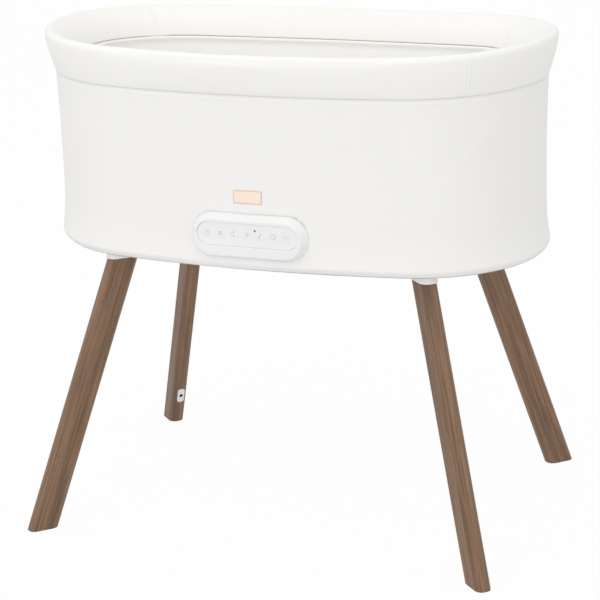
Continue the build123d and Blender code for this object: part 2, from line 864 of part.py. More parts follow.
gearbox_high = gear_low - pinion_lap - gearbox_gap
with BuildPart() as drive_motor:
    with BuildSketch(Plane((pinion_x, 0, floor_height))):
        SlotOverall(motor_flange_length, motor_flange_width, rotation=90)
        with Locations((0, motor_screw_station), (0, -motor_screw_station)):
            Circle(screw_radius, mode=Mode.SUBTRACT)
    extrude(amount=motor_flange_thickness)
    with BuildSketch(Plane((pinion_x, 0, floor_height))):
        Circle(motor_radius)
    extrude(amount=gearbox_high - floor_height)
    with BuildSketch(Plane((pinion_x, 0, gearbox_high))):
        Circle(gearbox_radius)
    extrude(amount=-gearbox_height)
    chamfer(drive_motor.faces().sort_by(Axis.Z)[-1].edges(), length=edge_break)
    with BuildSketch(Plane((pinion_x, 0, gearbox_high))):
        Circle(shaft_radius + running_gap)
    extrude(amount=-shaft_depth, mode=Mode.SUBTRACT)
keep(drive_motor.part, "drive_motor")


def screw(x, y, seat, grip):
    """A pan-head screw standing on seat, reaching grip below it."""
    with BuildPart() as one:
        with BuildSketch(Plane((x, y, seat))):
            Circle(screw_radius)
        extrude(amount=-grip)
        with BuildSketch(Plane((x, y, seat))):
            Circle(screw_head_radius)
        extrude(amount=screw_head_height)
    return one.part


with BuildPart() as motor_screws:
    for x, y in motor_screw_places:
        add(screw(x, y, floor_height + motor_flange_thickness, motor_flange_thickness + screw_grip))
keep(motor_screws.part, "motor_screws")

# Support rollers on axles between bracket cheeks
cheek_gap = roller_width + 2 * roller_side_gap
axle_length = cheek_gap + 2 * cheek_thickness
axle_drop = roller_axle_height - floor_height
with BuildPart() as roller_brackets:
    for plane in roller_planes:
        for side in (-1, 1):
            cheek_plane = plane.offset(side * (cheek_gap + cheek_thickness) / 2 - cheek_thickness / 2)
            with BuildSketch(cheek_plane):
                with Locations((0, -axle_drop / 2)):
                    Rectangle(cheek_width, axle_drop)
                Circle(cheek_width / 2)
                Circle(axle_radius, mode=Mode.SUBTRACT)
            extrude(amount=cheek_thickness)
        with BuildSketch(plane.offset(-cheek_gap / 2)):
            with Locations((0, bracket_base / 2 - axle_drop)):
                Rectangle(cheek_width, bracket_base)
        extrude(amount=cheek_gap)
keep(roller_brackets.part, "roller_brackets")

with BuildPart() as roller_axles:
    for plane in roller_planes:
        with BuildSketch(plane.offset(-axle_length / 2)):
            Circle(axle_radius)
        extrude(amount=axle_length)
keep(roller_axles.part, "roller_axles")

for number, plane in enumerate(roller_planes, start=1):
    with BuildPart() as support_roller:
        with BuildSketch(plane.offset(-roller_width / 2)):
            Circle(roller_radius)
        extrude(amount=roller_width)
        chamfer(support_roller.edges().filter_by(GeomType.CIRCLE), length=edge_break)
        with BuildSketch(plane.offset(-roller_width / 2)):
            Circle(axle_radius + running_gap)
        extrude(amount=roller_width, mode=Mode.SUBTRACT)
    keep(support_roller.part, f"support_roller_{number}")

# Electronics on the tray's floor
board_low = floor_height + control_lift
with BuildPart() as control_board:
    with BuildSketch(Plane((control_x, 0, board_low))):
        Rectangle(control_length, control_width)
        with GridLocations(2 * standoff_x, 2 * standoff_y, 2, 2):
            Circle(screw_radius, mode=Mode.SUBTRACT)
    extrude(amount=board_thickness)
    board_top = board_low + board_thickness
    with BuildSketch(Plane((control_x, 0, board_top))):
        Rectangle(chip_size, chip_size)
    extrude(amount=chip_height)
    with BuildSketch(Plane((control_x - control_length / 4, 0, board_top))):
        with GridLocations(0, 3 * can_radius, 1, 2):
            Circle(can_radius)
    extrude(amount=can_height)
    with BuildSketch(Plane((control_x + control_length / 4, 0, board_top))):
        with GridLocations(0, plug_length + plug_depth / 2, 1, 2):
            Rectangle(plug_depth, plug_length)
    extrude(amount=plug_height)
keep(control_board.part, "control_board")

with BuildPart() as board_screws:
    for x, y in standoff_places:
        add(screw(x, y, board_top, board_thickness + screw_grip))
keep(board_screws.part, "board_screws")

with BuildPart() as speaker:
    with BuildSketch(Plane.XZ):
        with BuildLine():
            cone_top = floor_height + speaker_height - magnet_height
            Polyline(
                (0, floor_height + speaker_height),
                (magnet_radius, floor_height + speaker_height),
                (magnet_radius, cone_top),
                (speaker_radius - speaker_flange, floor_height + speaker_flange),
                (speaker_radius, floor_height + speaker_flange),
                (speaker_radius, floor_height),
                (speaker_radius - speaker_flange, floor_height),
                (0, cone_top - speaker_flange),
                close=True,
            )
        make_face()
    revolve(axis=Axis.Z)
keep(Pos(-speaker_x, 0, 0) * speaker.part, "speaker")

# Mattress: crowned top, drawn-in sides between its two edges
mattress_low = platform_high + mattress_gap
edge_high = mattress_low + mattress_thickness
crown_start = -bed_inset - crown_reach
with BuildSketch() as mattress_profile:
    with BuildLine():
        Line((crown_start, mattress_low), (-bed_inset - mattress_edge, mattress_low))
        RadiusArc(
            (-bed_inset - mattress_edge, mattress_low),
            (-bed_inset, mattress_low + mattress_edge),
            -mattress_edge,
        )
        ThreePointArc(
            (-bed_inset, mattress_low + mattress_edge),
            (-bed_inset - mattress_draw, (mattress_low + edge_high) / 2),
            (-bed_inset, edge_high - mattress_edge),
        )
        RadiusArc(
            (-bed_inset, edge_high - mattress_edge),
            (-bed_inset - mattress_edge, edge_high),
            -mattress_edge,
        )
        crown_run = crown_reach - mattress_edge
        crown_arc = (crown_run**2 + mattress_crown**2) / (2 * mattress_crown)
        RadiusArc(
            (-bed_inset - mattress_edge, edge_high),
            (crown_start, edge_high + mattress_crown),
            -crown_arc,
        )
        Line((crown_start, edge_high + mattress_crown), (crown_start, mattress_low))
    make_face()
with BuildPart() as mattress:
    add(oval_ring(mattress_profile.sketch))
    add(oval_plate(crown_start, mattress_low, edge_high + mattress_crown))
keep(mattress.part, "mattress")
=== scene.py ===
"""Dresses an oval bassinet on splayed legs in cloth, padding and finishes, and sets its stage."""

import math

import bmesh
import bpy
from bpy.props import FloatProperty, FloatVectorProperty, IntProperty, PointerProperty
from bpy.types import Operator, Panel, PropertyGroup
from mathutils import Matrix, Vector, noise
from mathutils.bvhtree import BVHTree


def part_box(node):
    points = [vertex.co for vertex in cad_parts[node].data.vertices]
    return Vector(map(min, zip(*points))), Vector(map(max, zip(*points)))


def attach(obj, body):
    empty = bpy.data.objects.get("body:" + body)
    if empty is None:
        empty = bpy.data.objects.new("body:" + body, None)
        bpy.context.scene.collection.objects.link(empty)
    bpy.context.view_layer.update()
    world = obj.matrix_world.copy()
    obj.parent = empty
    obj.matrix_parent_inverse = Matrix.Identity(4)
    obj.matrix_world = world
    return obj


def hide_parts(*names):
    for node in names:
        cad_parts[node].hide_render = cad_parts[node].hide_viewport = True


bl_info = {
    "name": "Bassinet on Stand",
    "version": (1, 0, 0),
    "blender": (4, 5, 0),
    "location": "View3D > Sidebar > Bassinet",
    "description": "Dresses the packed bassinet in cloth, padding, walnut and moulded plastic",
    "category": "Object",
}

CORNERS = ("front_left", "front_right", "rear_left", "rear_right")
# Height above which the cloth follows the rim's rise towards its ends
RISE_START = 0.70

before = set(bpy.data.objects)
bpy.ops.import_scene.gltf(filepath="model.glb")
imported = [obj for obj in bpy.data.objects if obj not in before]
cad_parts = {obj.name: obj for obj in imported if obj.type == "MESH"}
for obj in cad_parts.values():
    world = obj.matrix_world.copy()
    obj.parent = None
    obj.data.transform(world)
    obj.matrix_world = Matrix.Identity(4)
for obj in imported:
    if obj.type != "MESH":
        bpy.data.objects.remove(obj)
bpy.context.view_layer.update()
liner_low, liner_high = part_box("inner_liner")
bed_low, bed_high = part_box("mattress")
tag_low, tag_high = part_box("side_tag")


def linear(red, green, blue):
    """A colour read off a screen, as the linear values that a shader takes."""
    shares = [value / 255 for value in (red, green, blue)]
    return tuple(s / 12.92 if s <= 0.04045 else ((s + 0.055) / 1.055) ** 2.4 for s in shares)


def length(name, description, default):
    """A size in metres."""
    return FloatProperty(
        name=name, description=description, default=default, unit="LENGTH", subtype="DISTANCE"
    )


def colour(name, description, default):
    """A surface colour."""
    return FloatVectorProperty(
        name=name, description=description, default=default, subtype="COLOR", size=3, min=0.0, max=1.0
    )


class BassinetSizes(PropertyGroup):
    """Sizes of the soft pieces and small details."""

    body_length: length("Body length", "Length of the oval that the body follows", 0.866)
    body_width: length("Body width", "Width of that oval", 0.469)
    side_bow: length("Side bow", "How far the long sides bow out", 0.0165)
    hem_height: length("Hem height", "Height where the cloth wall turns under the tray", 0.498)
    hem_turn: length("Hem turn", "Radius of the cloth's turn under the tray", 0.0136)
    flare_height: length("Flare height", "Height where the cloth wall starts to flare towards the hem", 0.552)
    wall_top: length("Wall top", "Height where the cloth wall steps in under the rim", 0.768)
    cloth_thickness: length("Cloth thickness", "Thickness of the stretched cloth", 0.0016)
    hem_depth: length("Hem depth", "Distance of the hem's stitch line from the edge, up the cloth", 0.0085)
    tuck_inset: length("Tuck inset", "How far inside the oval the cloth wall's top is tucked", 0.0096)
    welt_drop: length("Welt drop", "How far the wall's sewn welt lies under the wall's top", 0.0015)
    stitch_pitch: length("Stitch pitch", "Distance from one stitch to the next", 0.0048)
    rim_crest_rise: length("Crest rise", "How much the rim pad's crest rises towards both ends", 0.009)
    rim_outer_rise: length("Outer rise", "How much the pad's outer lower edge rises towards both ends", 0.004)
    rim_inner_rise: length("Inner rise", "How much the pad's inner lower edge rises towards both ends", 0.012)
    rim_cap: length("Rim swell", "Most that the rim pad's cover swells", 0.0016)
    seam_width: length("Seam width", "Distance between a cover seam's two stitch lines", 0.0056)
    bed_cap: length("Mattress swell", "Most that the mattress cover swells", 0.005)
    piping_radius: length("Piping radius", "Radius of the mattress piping", 0.0022)
    tag_thickness: length("Tag thickness", "Thickness of the tag's tape", 0.0009)
    tag_edge: length("Tag border", "Width of the tag's sewn border", 0.0019)
    symbol_stroke: length("Symbol stroke", "Line width of the key symbols", 0.0009)
    symbol_unit: length("Symbol unit", "Unit in which the key symbols are drawn", 0.00125)
    seam_angle: FloatProperty(
        name="Seam angle",
        description="Where the rim cover's seams lie, turned from each end's middle",
        default=math.radians(52.5),
        subtype="ANGLE",
    )
    hem_wrap: FloatProperty(
        name="Hem wrap",
        description="How far the hem turns under the tray",
        default=math.radians(60),
        subtype="ANGLE",
    )
    puff_frames: IntProperty(
        name="Swell steps", description="Frames of each cloth run", default=16, min=1, max=60
    )


class BassinetColours(PropertyGroup):
    """Colours of the finishes."""

    wall_cloth: colour("Wall cloth", "Outer cloth wall", linear(246, 245, 243))
    # Painted light: the liner, rim and mattress cloth are painted lighter than the wall cloth, so that the
    # shaded well shows about as bright as the outer wall
    liner_cloth: colour("Liner cloth", "Inner cloth wall", linear(253, 252, 249))
    rim_cloth: colour("Rim cloth", "Padded rim cover", linear(250, 249, 246))
    bed_cloth: colour("Mattress cloth", "Mattress cover", linear(253, 252, 250))
    white_plastic: colour("White plastic", "Tray, collars, bezel and inlet plate", linear(242, 242, 242))
    panel_face: colour("Panel face", "Recessed face and keys", linear(243, 243, 243))
    symbol_print: colour("Symbol print", "Printed key symbols", linear(196, 197, 199))
    walnut_light: colour("Walnut light", "Light streaks of the legs", linear(155, 122, 96))
    walnut_dark: colour("Walnut dark", "Dark streaks of the legs", linear(95, 74, 59))
    tag_cloth: colour("Tag", "Sewn tag", linear(253, 234, 218))
    tag_thread: colour("Tag thread", "Tag's border", linear(214, 182, 160))
    thread: colour("Thread", "Stitches in the white cloth", linear(236, 234, 230))
    black_plastic: colour("Black plastic", "Socket, lens and speaker", linear(30, 30, 31))
    steel: colour("Steel", "Hoop, posts, bolts and brackets", linear(176, 178, 181))
    motor_metal: colour("Motor metal", "Drive motor's can", linear(92, 94, 98))
    gear_plastic: colour("Gear plastic", "Gears and rollers", linear(232, 228, 216))
    deck_plastic: colour("Deck plastic", "Turning deck", linear(214, 216, 218))
    brass: colour("Brass", "Pivot bush", linear(201, 164, 92))
    board: colour("Board", "Circuit boards", linear(28, 92, 56))
    copper: colour("Copper", "Tracks on the boards", linear(58, 128, 84))
    rubber: colour("Rubber", "Foot pads", linear(70, 66, 62))


class BodyLine:
    """The oval that the body follows: four arcs that meet smoothly, measured along and across."""

    def __init__(self, sizes):
        half_length = sizes.body_length / 2
        half_width = sizes.body_width / 2
        end_radius = half_width - sizes.side_bow
        end_center = half_length - end_radius
        side_center = (end_center**2 - sizes.side_bow**2) / (2 * sizes.side_bow)
        side_radius = side_center + half_width
        join = math.atan2(side_center, end_center)
        self.slope = end_center / side_center
        self.side_center = side_center
        self.arcs = [
            (Vector((end_center, 0, 0)), end_radius, -join, 2 * join),
            (Vector((0, -side_center, 0)), side_radius, join, math.pi - 2 * join),
            (Vector((-end_center, 0, 0)), end_radius, math.pi - join, 2 * join),
            (Vector((0, side_center, 0)), side_radius, math.pi + join, math.pi - 2 * join),
        ]
        self.around = sum(radius * turn for _, radius, _, turn in self.arcs)

    def arc_at(self, co):
        """Which of the four arcs a point belongs to."""
        if abs(co.x) <= (abs(co.y) + self.side_center) * self.slope:
            return 1 if co.y > 0 else 3
        return 0 if co.x > 0 else 2

    def outward(self, co):
        """The level direction straight out of the line at a point."""
        center = self.arcs[self.arc_at(co)][0]
        return Vector((co.x - center.x, co.y - center.y, 0)).normalized()

    def measure(self, co):
        """How far a point lies along the line, and how far outside it."""
        index = self.arc_at(co)
        center, radius, start, _ = self.arcs[index]
        turned = (math.atan2(co.y - center.y, co.x - center.x) - start + math.pi) % math.tau - math.pi
        before = sum(arc[1] * arc[3] for arc in self.arcs[:index])
        return before + radius * turned, math.hypot(co.x - center.x, co.y - center.y) - radius

    def point(self, along, out, height):
        """The point at a distance along the line, moved outwards and up."""
        along %= self.around
        for center, radius, start, turn in self.arcs:
            if along <= radius * turn:
                break
            along -= radius * turn
        angle = start + along / radius
        reach = radius + out
        return center + Vector((reach * math.cos(angle), reach * math.sin(angle), height))

    def sweep(self, bm, section, end_steps, side_steps, closed=False):
        """Carry a section of outward and height pairs once round the line."""
        chain = [bm.verts.new(self.point(0, out, height)) for out, height in section]
        edges = [bm.edges.new(pair) for pair in zip(chain, chain[1:])]
        if closed:
            edges.append(bm.edges.new((chain[-1], chain[0])))
        geom = chain + edges
        for (center, _, _, turn), steps in zip(self.arcs, (end_steps, side_steps) * 2):
            spun = bmesh.ops.spin(
                bm, geom=geom, cent=center, axis=(0, 0, 1), angle=turn, steps=steps, use_duplicate=False
            )
            geom = spun["geom_last"]
        bmesh.ops.remove_doubles(bm, verts=bm.verts, dist=2e-5)

    def unwrap(self, bm, girth):
        """Lay the cloth out flat: along the line one way and by girth(out, height) the other."""
        layer = bm.loops.layers.uv.new("Cloth")
        for face in bm.faces:
            middle = self.measure(face.calc_center_median())[0]
            for loop in face.loops:
                along, out = self.measure(loop.vert.co)
                if along - middle > self.around / 2:
                    along -= self.around
                elif middle - along > self.around / 2:
                    along += self.around
                loop[layer].uv = (along, girth(out, loop.vert.co.z))


class Wire:
    """A shader socket: Python arithmetic on it adds Math nodes, and node() adds any other node."""

    def __init__(self, tree, socket=None):
        self.tree = tree
        self.socket = socket

    def node(self, kind, settings=(), inputs=(), output=0):
        """Add a node, set its settings first and its sockets next, and give one of its outputs."""
        made = self.tree.nodes.new(kind)
        for name, value in dict(settings).items():
            if name == "stops":
                elements = made.color_ramp.elements
                elements[0].position, elements[0].color = value[0][0], (*value[0][1], 1)
                elements[1].position, elements[1].color = value[-1][0], (*value[-1][1], 1)
                for place, shade in value[1:-1]:
                    elements.new(place).color = (*shade, 1)
            else:
                setattr(made, name, value)
        for name, value in dict(inputs).items():
            if isinstance(value, Wire):
                self.tree.links.new(value.socket, made.inputs[name])
            else:
                made.inputs[name].default_value = value
        return Wire(self.tree, made.outputs[output] if made.outputs else None)

    def maths(self, operation, *values):
        """A Math node on these values."""
        return self.node("ShaderNodeMath", {"operation": operation}, enumerate(values))

    def mix(self, share, first, second, blend="MIX"):
        """Two colours mixed by a share."""
        return self.node(
            "ShaderNodeMix", {"data_type": "RGBA", "blend_type": blend}, {0: share, 6: first, 7: second}, 2
        )

    def noise(self, coords, scale, detail=3.0, roughness=0.55):
        """Smooth noise over coordinates."""
        inputs = {"Vector": coords, "Scale": scale, "Detail": detail, "Roughness": roughness}
        return self.node("ShaderNodeTexNoise", {}, inputs)

    def coords(self):
        """The object's own coordinates."""
        return self.node("ShaderNodeTexCoord", output="Object")

    def bump(self, strength, distance, height):
        """A surface normal raised by a height."""
        inputs = {"Strength": strength, "Distance": distance, "Height": height}
        return self.node("ShaderNodeBump", {}, inputs)

    def span(self, low, high):
        """This value's share of the way from low to high, kept within 0 and 1."""
        inputs = {0: self, 1: low, 2: high, 3: 0.0, 4: 1.0}
        return self.node("ShaderNodeMapRange", {"interpolation_type": "SMOOTHSTEP"}, inputs)

    def __add__(self, other):
        return self.maths("ADD", self, other)

    __radd__ = __add__

    def __sub__(self, other):
        return self.maths("SUBTRACT", self, other)

    def __rsub__(self, other):
        return self.maths("SUBTRACT", other, self)

    def __mul__(self, other):
        return self.maths("MULTIPLY", self, other)

    __rmul__ = __mul__

    def __truediv__(self, other):
        return self.maths("DIVIDE", self, other)


def new_finish(name):
    """An empty node material and the start of its tree."""
    material = bpy.data.materials.new(name)
    material.use_nodes = True
    material.node_tree.nodes.clear()
    return material, Wire(material.node_tree)


def show(start, inputs):
    """End a material in one principled surface."""
    surface = start.node("ShaderNodeBsdfPrincipled", {}, inputs)
    start.node("ShaderNodeOutputMaterial", {}, {"Surface": surface})


def dimmed(shade, share):
    """A colour with every part reduced, ready for a colour socket."""
    return (*(part * share for part in shade), 1)


def cloth_finish(name, shade, pitch, uneven, sheen, unwrapped=True):
    """Fine stretched knit: crossed ribs, slub and a faint change of tone."""
    material, start = new_finish(name)
    coords = start.node("ShaderNodeUVMap", {"uv_map": "Cloth"}) if unwrapped else start.coords()
    ribs = []
    for direction in ("X", "Y"):
        settings = {"wave_type": "BANDS", "bands_direction": direction, "wave_profile": "SIN"}
        inputs = {"Vector": coords, "Scale": math.tau / (20 * pitch), "Distortion": 0.6, "Detail": 1.0}
        ribs.append(start.node("ShaderNodeTexWave", settings, inputs, "Fac"))
    slub = start.noise(coords, 260.0, 2.0)
    tone = start.noise(coords, 7.0, 3.0).span(0.3, 0.7)
    knit = ribs[0] * 0.5 + ribs[1] * 0.5
    base = start.mix(tone, dimmed(shade, 1 - uneven), dimmed(shade, 1.0))
    fine = start.mix((1 - knit) * 0.35, base, dimmed(shade, 0.93))
    show(start, {
        "Base Color": fine, "Roughness": slub * 0.12 + 0.8, "Sheen Weight": sheen, "Sheen Roughness": 0.45,
        "Specular IOR Level": 0.25, "Normal": start.bump(0.35, 0.0002, knit + slub * 0.6),
    })
    return material


def plastic_finish(name, shade, rough, grain):
    """Satin moulding: fine spark texture, slight flow marks and a touch of tone."""
    material, start = new_finish(name)
    coords = start.coords()
    spark = start.noise(coords, 1400.0, 2.0)
    flow = start.noise(coords, 9.0, 3.0).span(0.3, 0.7)
    base = start.mix(flow, dimmed(shade, 0.975), dimmed(shade, 1.0))
    show(start, {
        "Base Color": base, "Roughness": flow * 0.06 + spark * 0.05 + (rough - 0.05),
        "Normal": start.bump(grain, 0.0001, spark),
    })
    return material


def metal_finish(name, shade, rough, stretch):
    """Drawn or turned metal: fine lines one way and a little uneven gloss."""
    material, start = new_finish(name)
    coords = start.coords()
    lines = start.noise(start.node("ShaderNodeMapping", {}, {"Vector": coords, "Scale": stretch}), 300.0, 3.0)
    haze = start.noise(coords, 18.0, 3.0).span(0.3, 0.75)
    base = start.mix(lines, dimmed(shade, 0.86), dimmed(shade, 1.0))
    show(start, {
        "Base Color": base, "Metallic": 1.0, "Roughness": haze * 0.12 + lines * 0.08 + rough,
        "Normal": start.bump(0.2, 0.00005, lines),
    })
    return material


def walnut_finish(name, light, dark, foot, top):
    """Oiled walnut with long streaks and pores along one leg."""
    material, start = new_finish(name)
    along = (top - foot).normalized()
    across = along.cross(Vector((0, 0, 1))).normalized()
    turned = Matrix((across, along.cross(across), along)).transposed().to_euler()
    coords = start.coords()

    def grain(size):
        inputs = {"Vector": coords, "Location": foot, "Rotation": turned, "Scale": size}
        return start.node("ShaderNodeMapping", {"vector_type": "TEXTURE"}, inputs)

    bands = start.noise(grain((0.02, 0.02, 0.5)), 1.0, 4.0, 0.55)
    streaks = start.noise(grain((0.0035, 0.0035, 0.16)), 1.0, 3.0, 0.6)
    pores = start.noise(grain((0.0009, 0.0009, 0.012)), 1.0, 2.0, 0.7).span(0.58, 0.72)
    tone = (bands * 0.4 + streaks * 0.6).span(0.3, 0.7)
    wood = start.mix(tone, dimmed(dark, 1.0), dimmed(light, 1.0))
    lined = start.mix(pores * 0.45, wood, dimmed(dark, 0.62))
    show(start, {
        "Base Color": lined, "Roughness": pores * 0.15 + tone * 0.06 + 0.42, "Specular IOR Level": 0.22,
        "Coat Weight": 0.05, "Coat Roughness": 0.35,
        "Normal": start.bump(0.3, 0.00015, streaks * 0.5 + (1 - pores)),
    })
    return material


def socket_finish(name, rim, hole, center, axis, radius):
    """A moulded socket, pale round its mouth and dark inside its bore."""
    material, start = new_finish(name)
    coords = start.coords()
    turned = axis.to_track_quat("Z", "Y").to_euler()
    inputs = {"Vector": coords, "Location": center, "Rotation": turned}
    local = start.node("ShaderNodeMapping", {"vector_type": "TEXTURE"}, inputs)
    across, upward = (start.node("ShaderNodeSeparateXYZ", {}, {"Vector": local}, part) for part in "XY")
    away = local.maths("SQRT", across * across + upward * upward)
    spark = start.noise(coords, 1400.0, 2.0)
    base = start.mix(away.span(radius, radius + 0.0002), dimmed(hole, 1.0), dimmed(rim, 1.0))
    show(start, {
        "Base Color": base, "Roughness": spark * 0.06 + 0.42, "Normal": start.bump(0.15, 0.0001, spark),
    })
    return material


def board_finish(name, shade, track):
    """Circuit laminate with copper tracks under its lacquer."""
    material, start = new_finish(name)
    coords = start.coords()
    inputs = {"Vector": coords, "Scale": 260.0, "Mortar Size": 0.012, "Brick Width": 1.7, "Row Height": 0.45}
    lanes = start.node("ShaderNodeTexBrick", {"offset": 0.37}, inputs, "Fac")
    pads = start.node("ShaderNodeTexVoronoi", {}, {"Vector": coords, "Scale": 210.0}).span(0.22, 0.16)
    copper = lanes.maths("MAXIMUM", lanes, pads)
    base = start.mix(copper, dimmed(shade, 1.0), dimmed(track, 1.0))
    show(start, {
        "Base Color": base, "Roughness": 0.42 - copper * 0.1, "Normal": start.bump(0.3, 0.0001, copper),
    })
    return material


def leg_ends(corner):
    """The middles of a leg's two ends, foot first."""
    low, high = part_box(f"leg_{corner}")
    points = [vert.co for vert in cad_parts[f"leg_{corner}"].data.vertices]
    ends = []
    for height in (low.z, high.z):
        level = [co for co in points if abs(co.z - height) < 0.0005]
        ends.append(sum(level, Vector()) / len(level))
    return ends


def dress(material, *nodes):
    """Give frame nodes their finish."""
    for node in nodes:
        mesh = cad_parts[node].data
        mesh.materials.clear()
        mesh.materials.append(material)


def piece_from(name, bm, finish, body, stands_for=()):
    """Turn a bmesh into a shown piece that rides on a body."""
    mesh = bpy.data.meshes.new(name)
    bm.to_mesh(mesh)
    bm.free()
    piece = bpy.data.objects.new(name, mesh)
    bpy.context.scene.collection.objects.link(piece)
    mesh.materials.append(finish)
    mesh.shade_smooth()
    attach(piece, body)
    if stands_for:
        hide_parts(*stands_for)
    return piece


def thicken(piece, thickness):
    """Give a cloth wall its thickness, behind the side that is seen."""
    skin = piece.modifiers.new("Thickness", "SOLIDIFY")
    skin.thickness = thickness
    skin.offset = -1.0


def chosen(context):
    """The chosen sizes and colours, and the body line that the sizes give."""
    scene = context.scene
    return scene.bassinet_sizes, scene.bassinet_colours, BodyLine(scene.bassinet_sizes)


def face_outwards(bm, line, outside=True):
    """Turn an open wall's faces away from the well, or towards it."""
    bm.normal_update()
    facing = 0.0
    for face in bm.faces:
        facing += face.normal.dot(line.outward(face.calc_center_median())) * face.calc_area()
    if (facing > 0) != outside:
        bmesh.ops.reverse_faces(bm, faces=bm.faces)
    bm.normal_update()


def ramp(value, low, high):
    """A value's share of the way from low to high, kept within 0 and 1."""
    return min(max((value - low) / (high - low), 0.0), 1.0)


def bow(first, middle, last, count):
    """Points of a smooth bow from first through middle, without its last point."""
    pull = [2 * m - (f + l) / 2 for f, m, l in zip(first, middle, last)]
    points = []
    for step in range(count):
        share = step / count
        weights = ((1 - share) ** 2, 2 * share * (1 - share), share**2)
        weighed = list(zip(weights, (first, pull, last)))
        points.append(tuple(sum(weight * knot[axis] for weight, knot in weighed) for axis in (0, 1)))
    return points


def run(section):
    """The length of a section's outline."""
    return sum(math.dist(first, last) for first, last in zip(section, section[1:]))


def puffed(mesh, held, pressure, cap, frames):
    """Where a closed cover's vertices go in a short cloth run under pressure, some held and all capped."""
    rest = [vertex.co.copy() for vertex in mesh.vertices]
    trial = bpy.data.objects.new("puff_trial", mesh.copy())
    bpy.context.scene.collection.objects.link(trial)
    group = trial.vertex_groups.new(name="held")
    group.add(held, 1.0, "REPLACE")
    cloth = trial.modifiers.new("Swell", "CLOTH")
    cloth.settings.quality = 6
    cloth.settings.mass = 0.3
    cloth.settings.tension_stiffness = 12
    cloth.settings.compression_stiffness = 12
    cloth.settings.bending_stiffness = 0.4
    cloth.settings.use_pressure = True
    cloth.settings.uniform_pressure_force = pressure
    cloth.settings.vertex_group_mass = "held"
    cloth.settings.effector_weights.gravity = 0
    cloth.point_cache.frame_start = 1
    cloth.point_cache.frame_end = frames
    scene = bpy.context.scene
    for step in range(1, frames + 1):
        scene.frame_set(step)
    shaped = trial.evaluated_get(bpy.context.evaluated_depsgraph_get())
    moved = []
    for before, vertex in zip(rest, shaped.data.vertices):
        travel = vertex.co - before
        if travel.length > cap:
            travel *= cap / travel.length
        moved.append(before + travel)
    bpy.data.objects.remove(trial)
    scene.frame_set(1)
    return moved


def stitch_row(bm, places, stitch_length, thickness):
    """Add a short thread at each place, given as a point, its direction and the surface normal."""
    for point, direction, normal in places:
        side = normal.cross(direction).normalized()
        turned = Matrix((direction, side, normal)).transposed().to_4x4()
        sized = Matrix.Diagonal((stitch_length / 2, thickness / 2, thickness / 2, 1))
        bmesh.ops.create_icosphere(
            bm, subdivisions=1, radius=1.0, matrix=Matrix.Translation(point) @ turned @ sized
        )


def wall_offset(sizes, height):
    """How far the cloth wall lies outside the body line at a height."""
    flare, waist = (-0.0004, -0.0044, -0.0065), (-0.0065, -0.0076, -0.0054)
    low, high = sizes.hem_height, sizes.flare_height
    out_low, out_middle, out_high = flare
    if height > high:
        low, high = high, sizes.wall_top
        out_low, out_middle, out_high = waist
    share = ramp(height, low, high)
    lift = 4 * share * (1 - share)
    return out_low + (out_high - out_low) * share + (out_middle - (out_low + out_high) / 2) * lift


def wall_place(sizes, girth):
    """The cloth wall's outward, height and downward tilt at a distance up the cloth from its edge."""
    turned = sizes.hem_turn * sizes.hem_wrap
    if girth < turned:
        tilt = sizes.hem_wrap - girth / sizes.hem_turn
        out = wall_offset(sizes, sizes.hem_height) - sizes.hem_turn * (1 - math.cos(tilt))
        return out, sizes.hem_height - sizes.hem_turn * math.sin(tilt), tilt
    height = sizes.hem_height + girth - turned
    return wall_offset(sizes, height), height, 0.0


def wall_girth(sizes, height):
    """The distance up the cloth from its edge at a height, and the cloth's downward tilt there."""
    drop = ramp(sizes.hem_height - height, 0.0, sizes.hem_turn)
    tilt = min(math.asin(drop), sizes.hem_wrap)
    return sizes.hem_turn * (sizes.hem_wrap - tilt) + max(height - sizes.hem_height, 0.0), tilt


def end_share(sizes, co):
    """How far a point shares in the rim's sweep: none along the sides, all at the two ends."""
    return ramp(abs(co.x), 0.0, sizes.body_length / 2) ** 3


def sewn(distance, width):
    """A soft dent across a stitch line."""
    return math.exp(-((distance / width) ** 2))


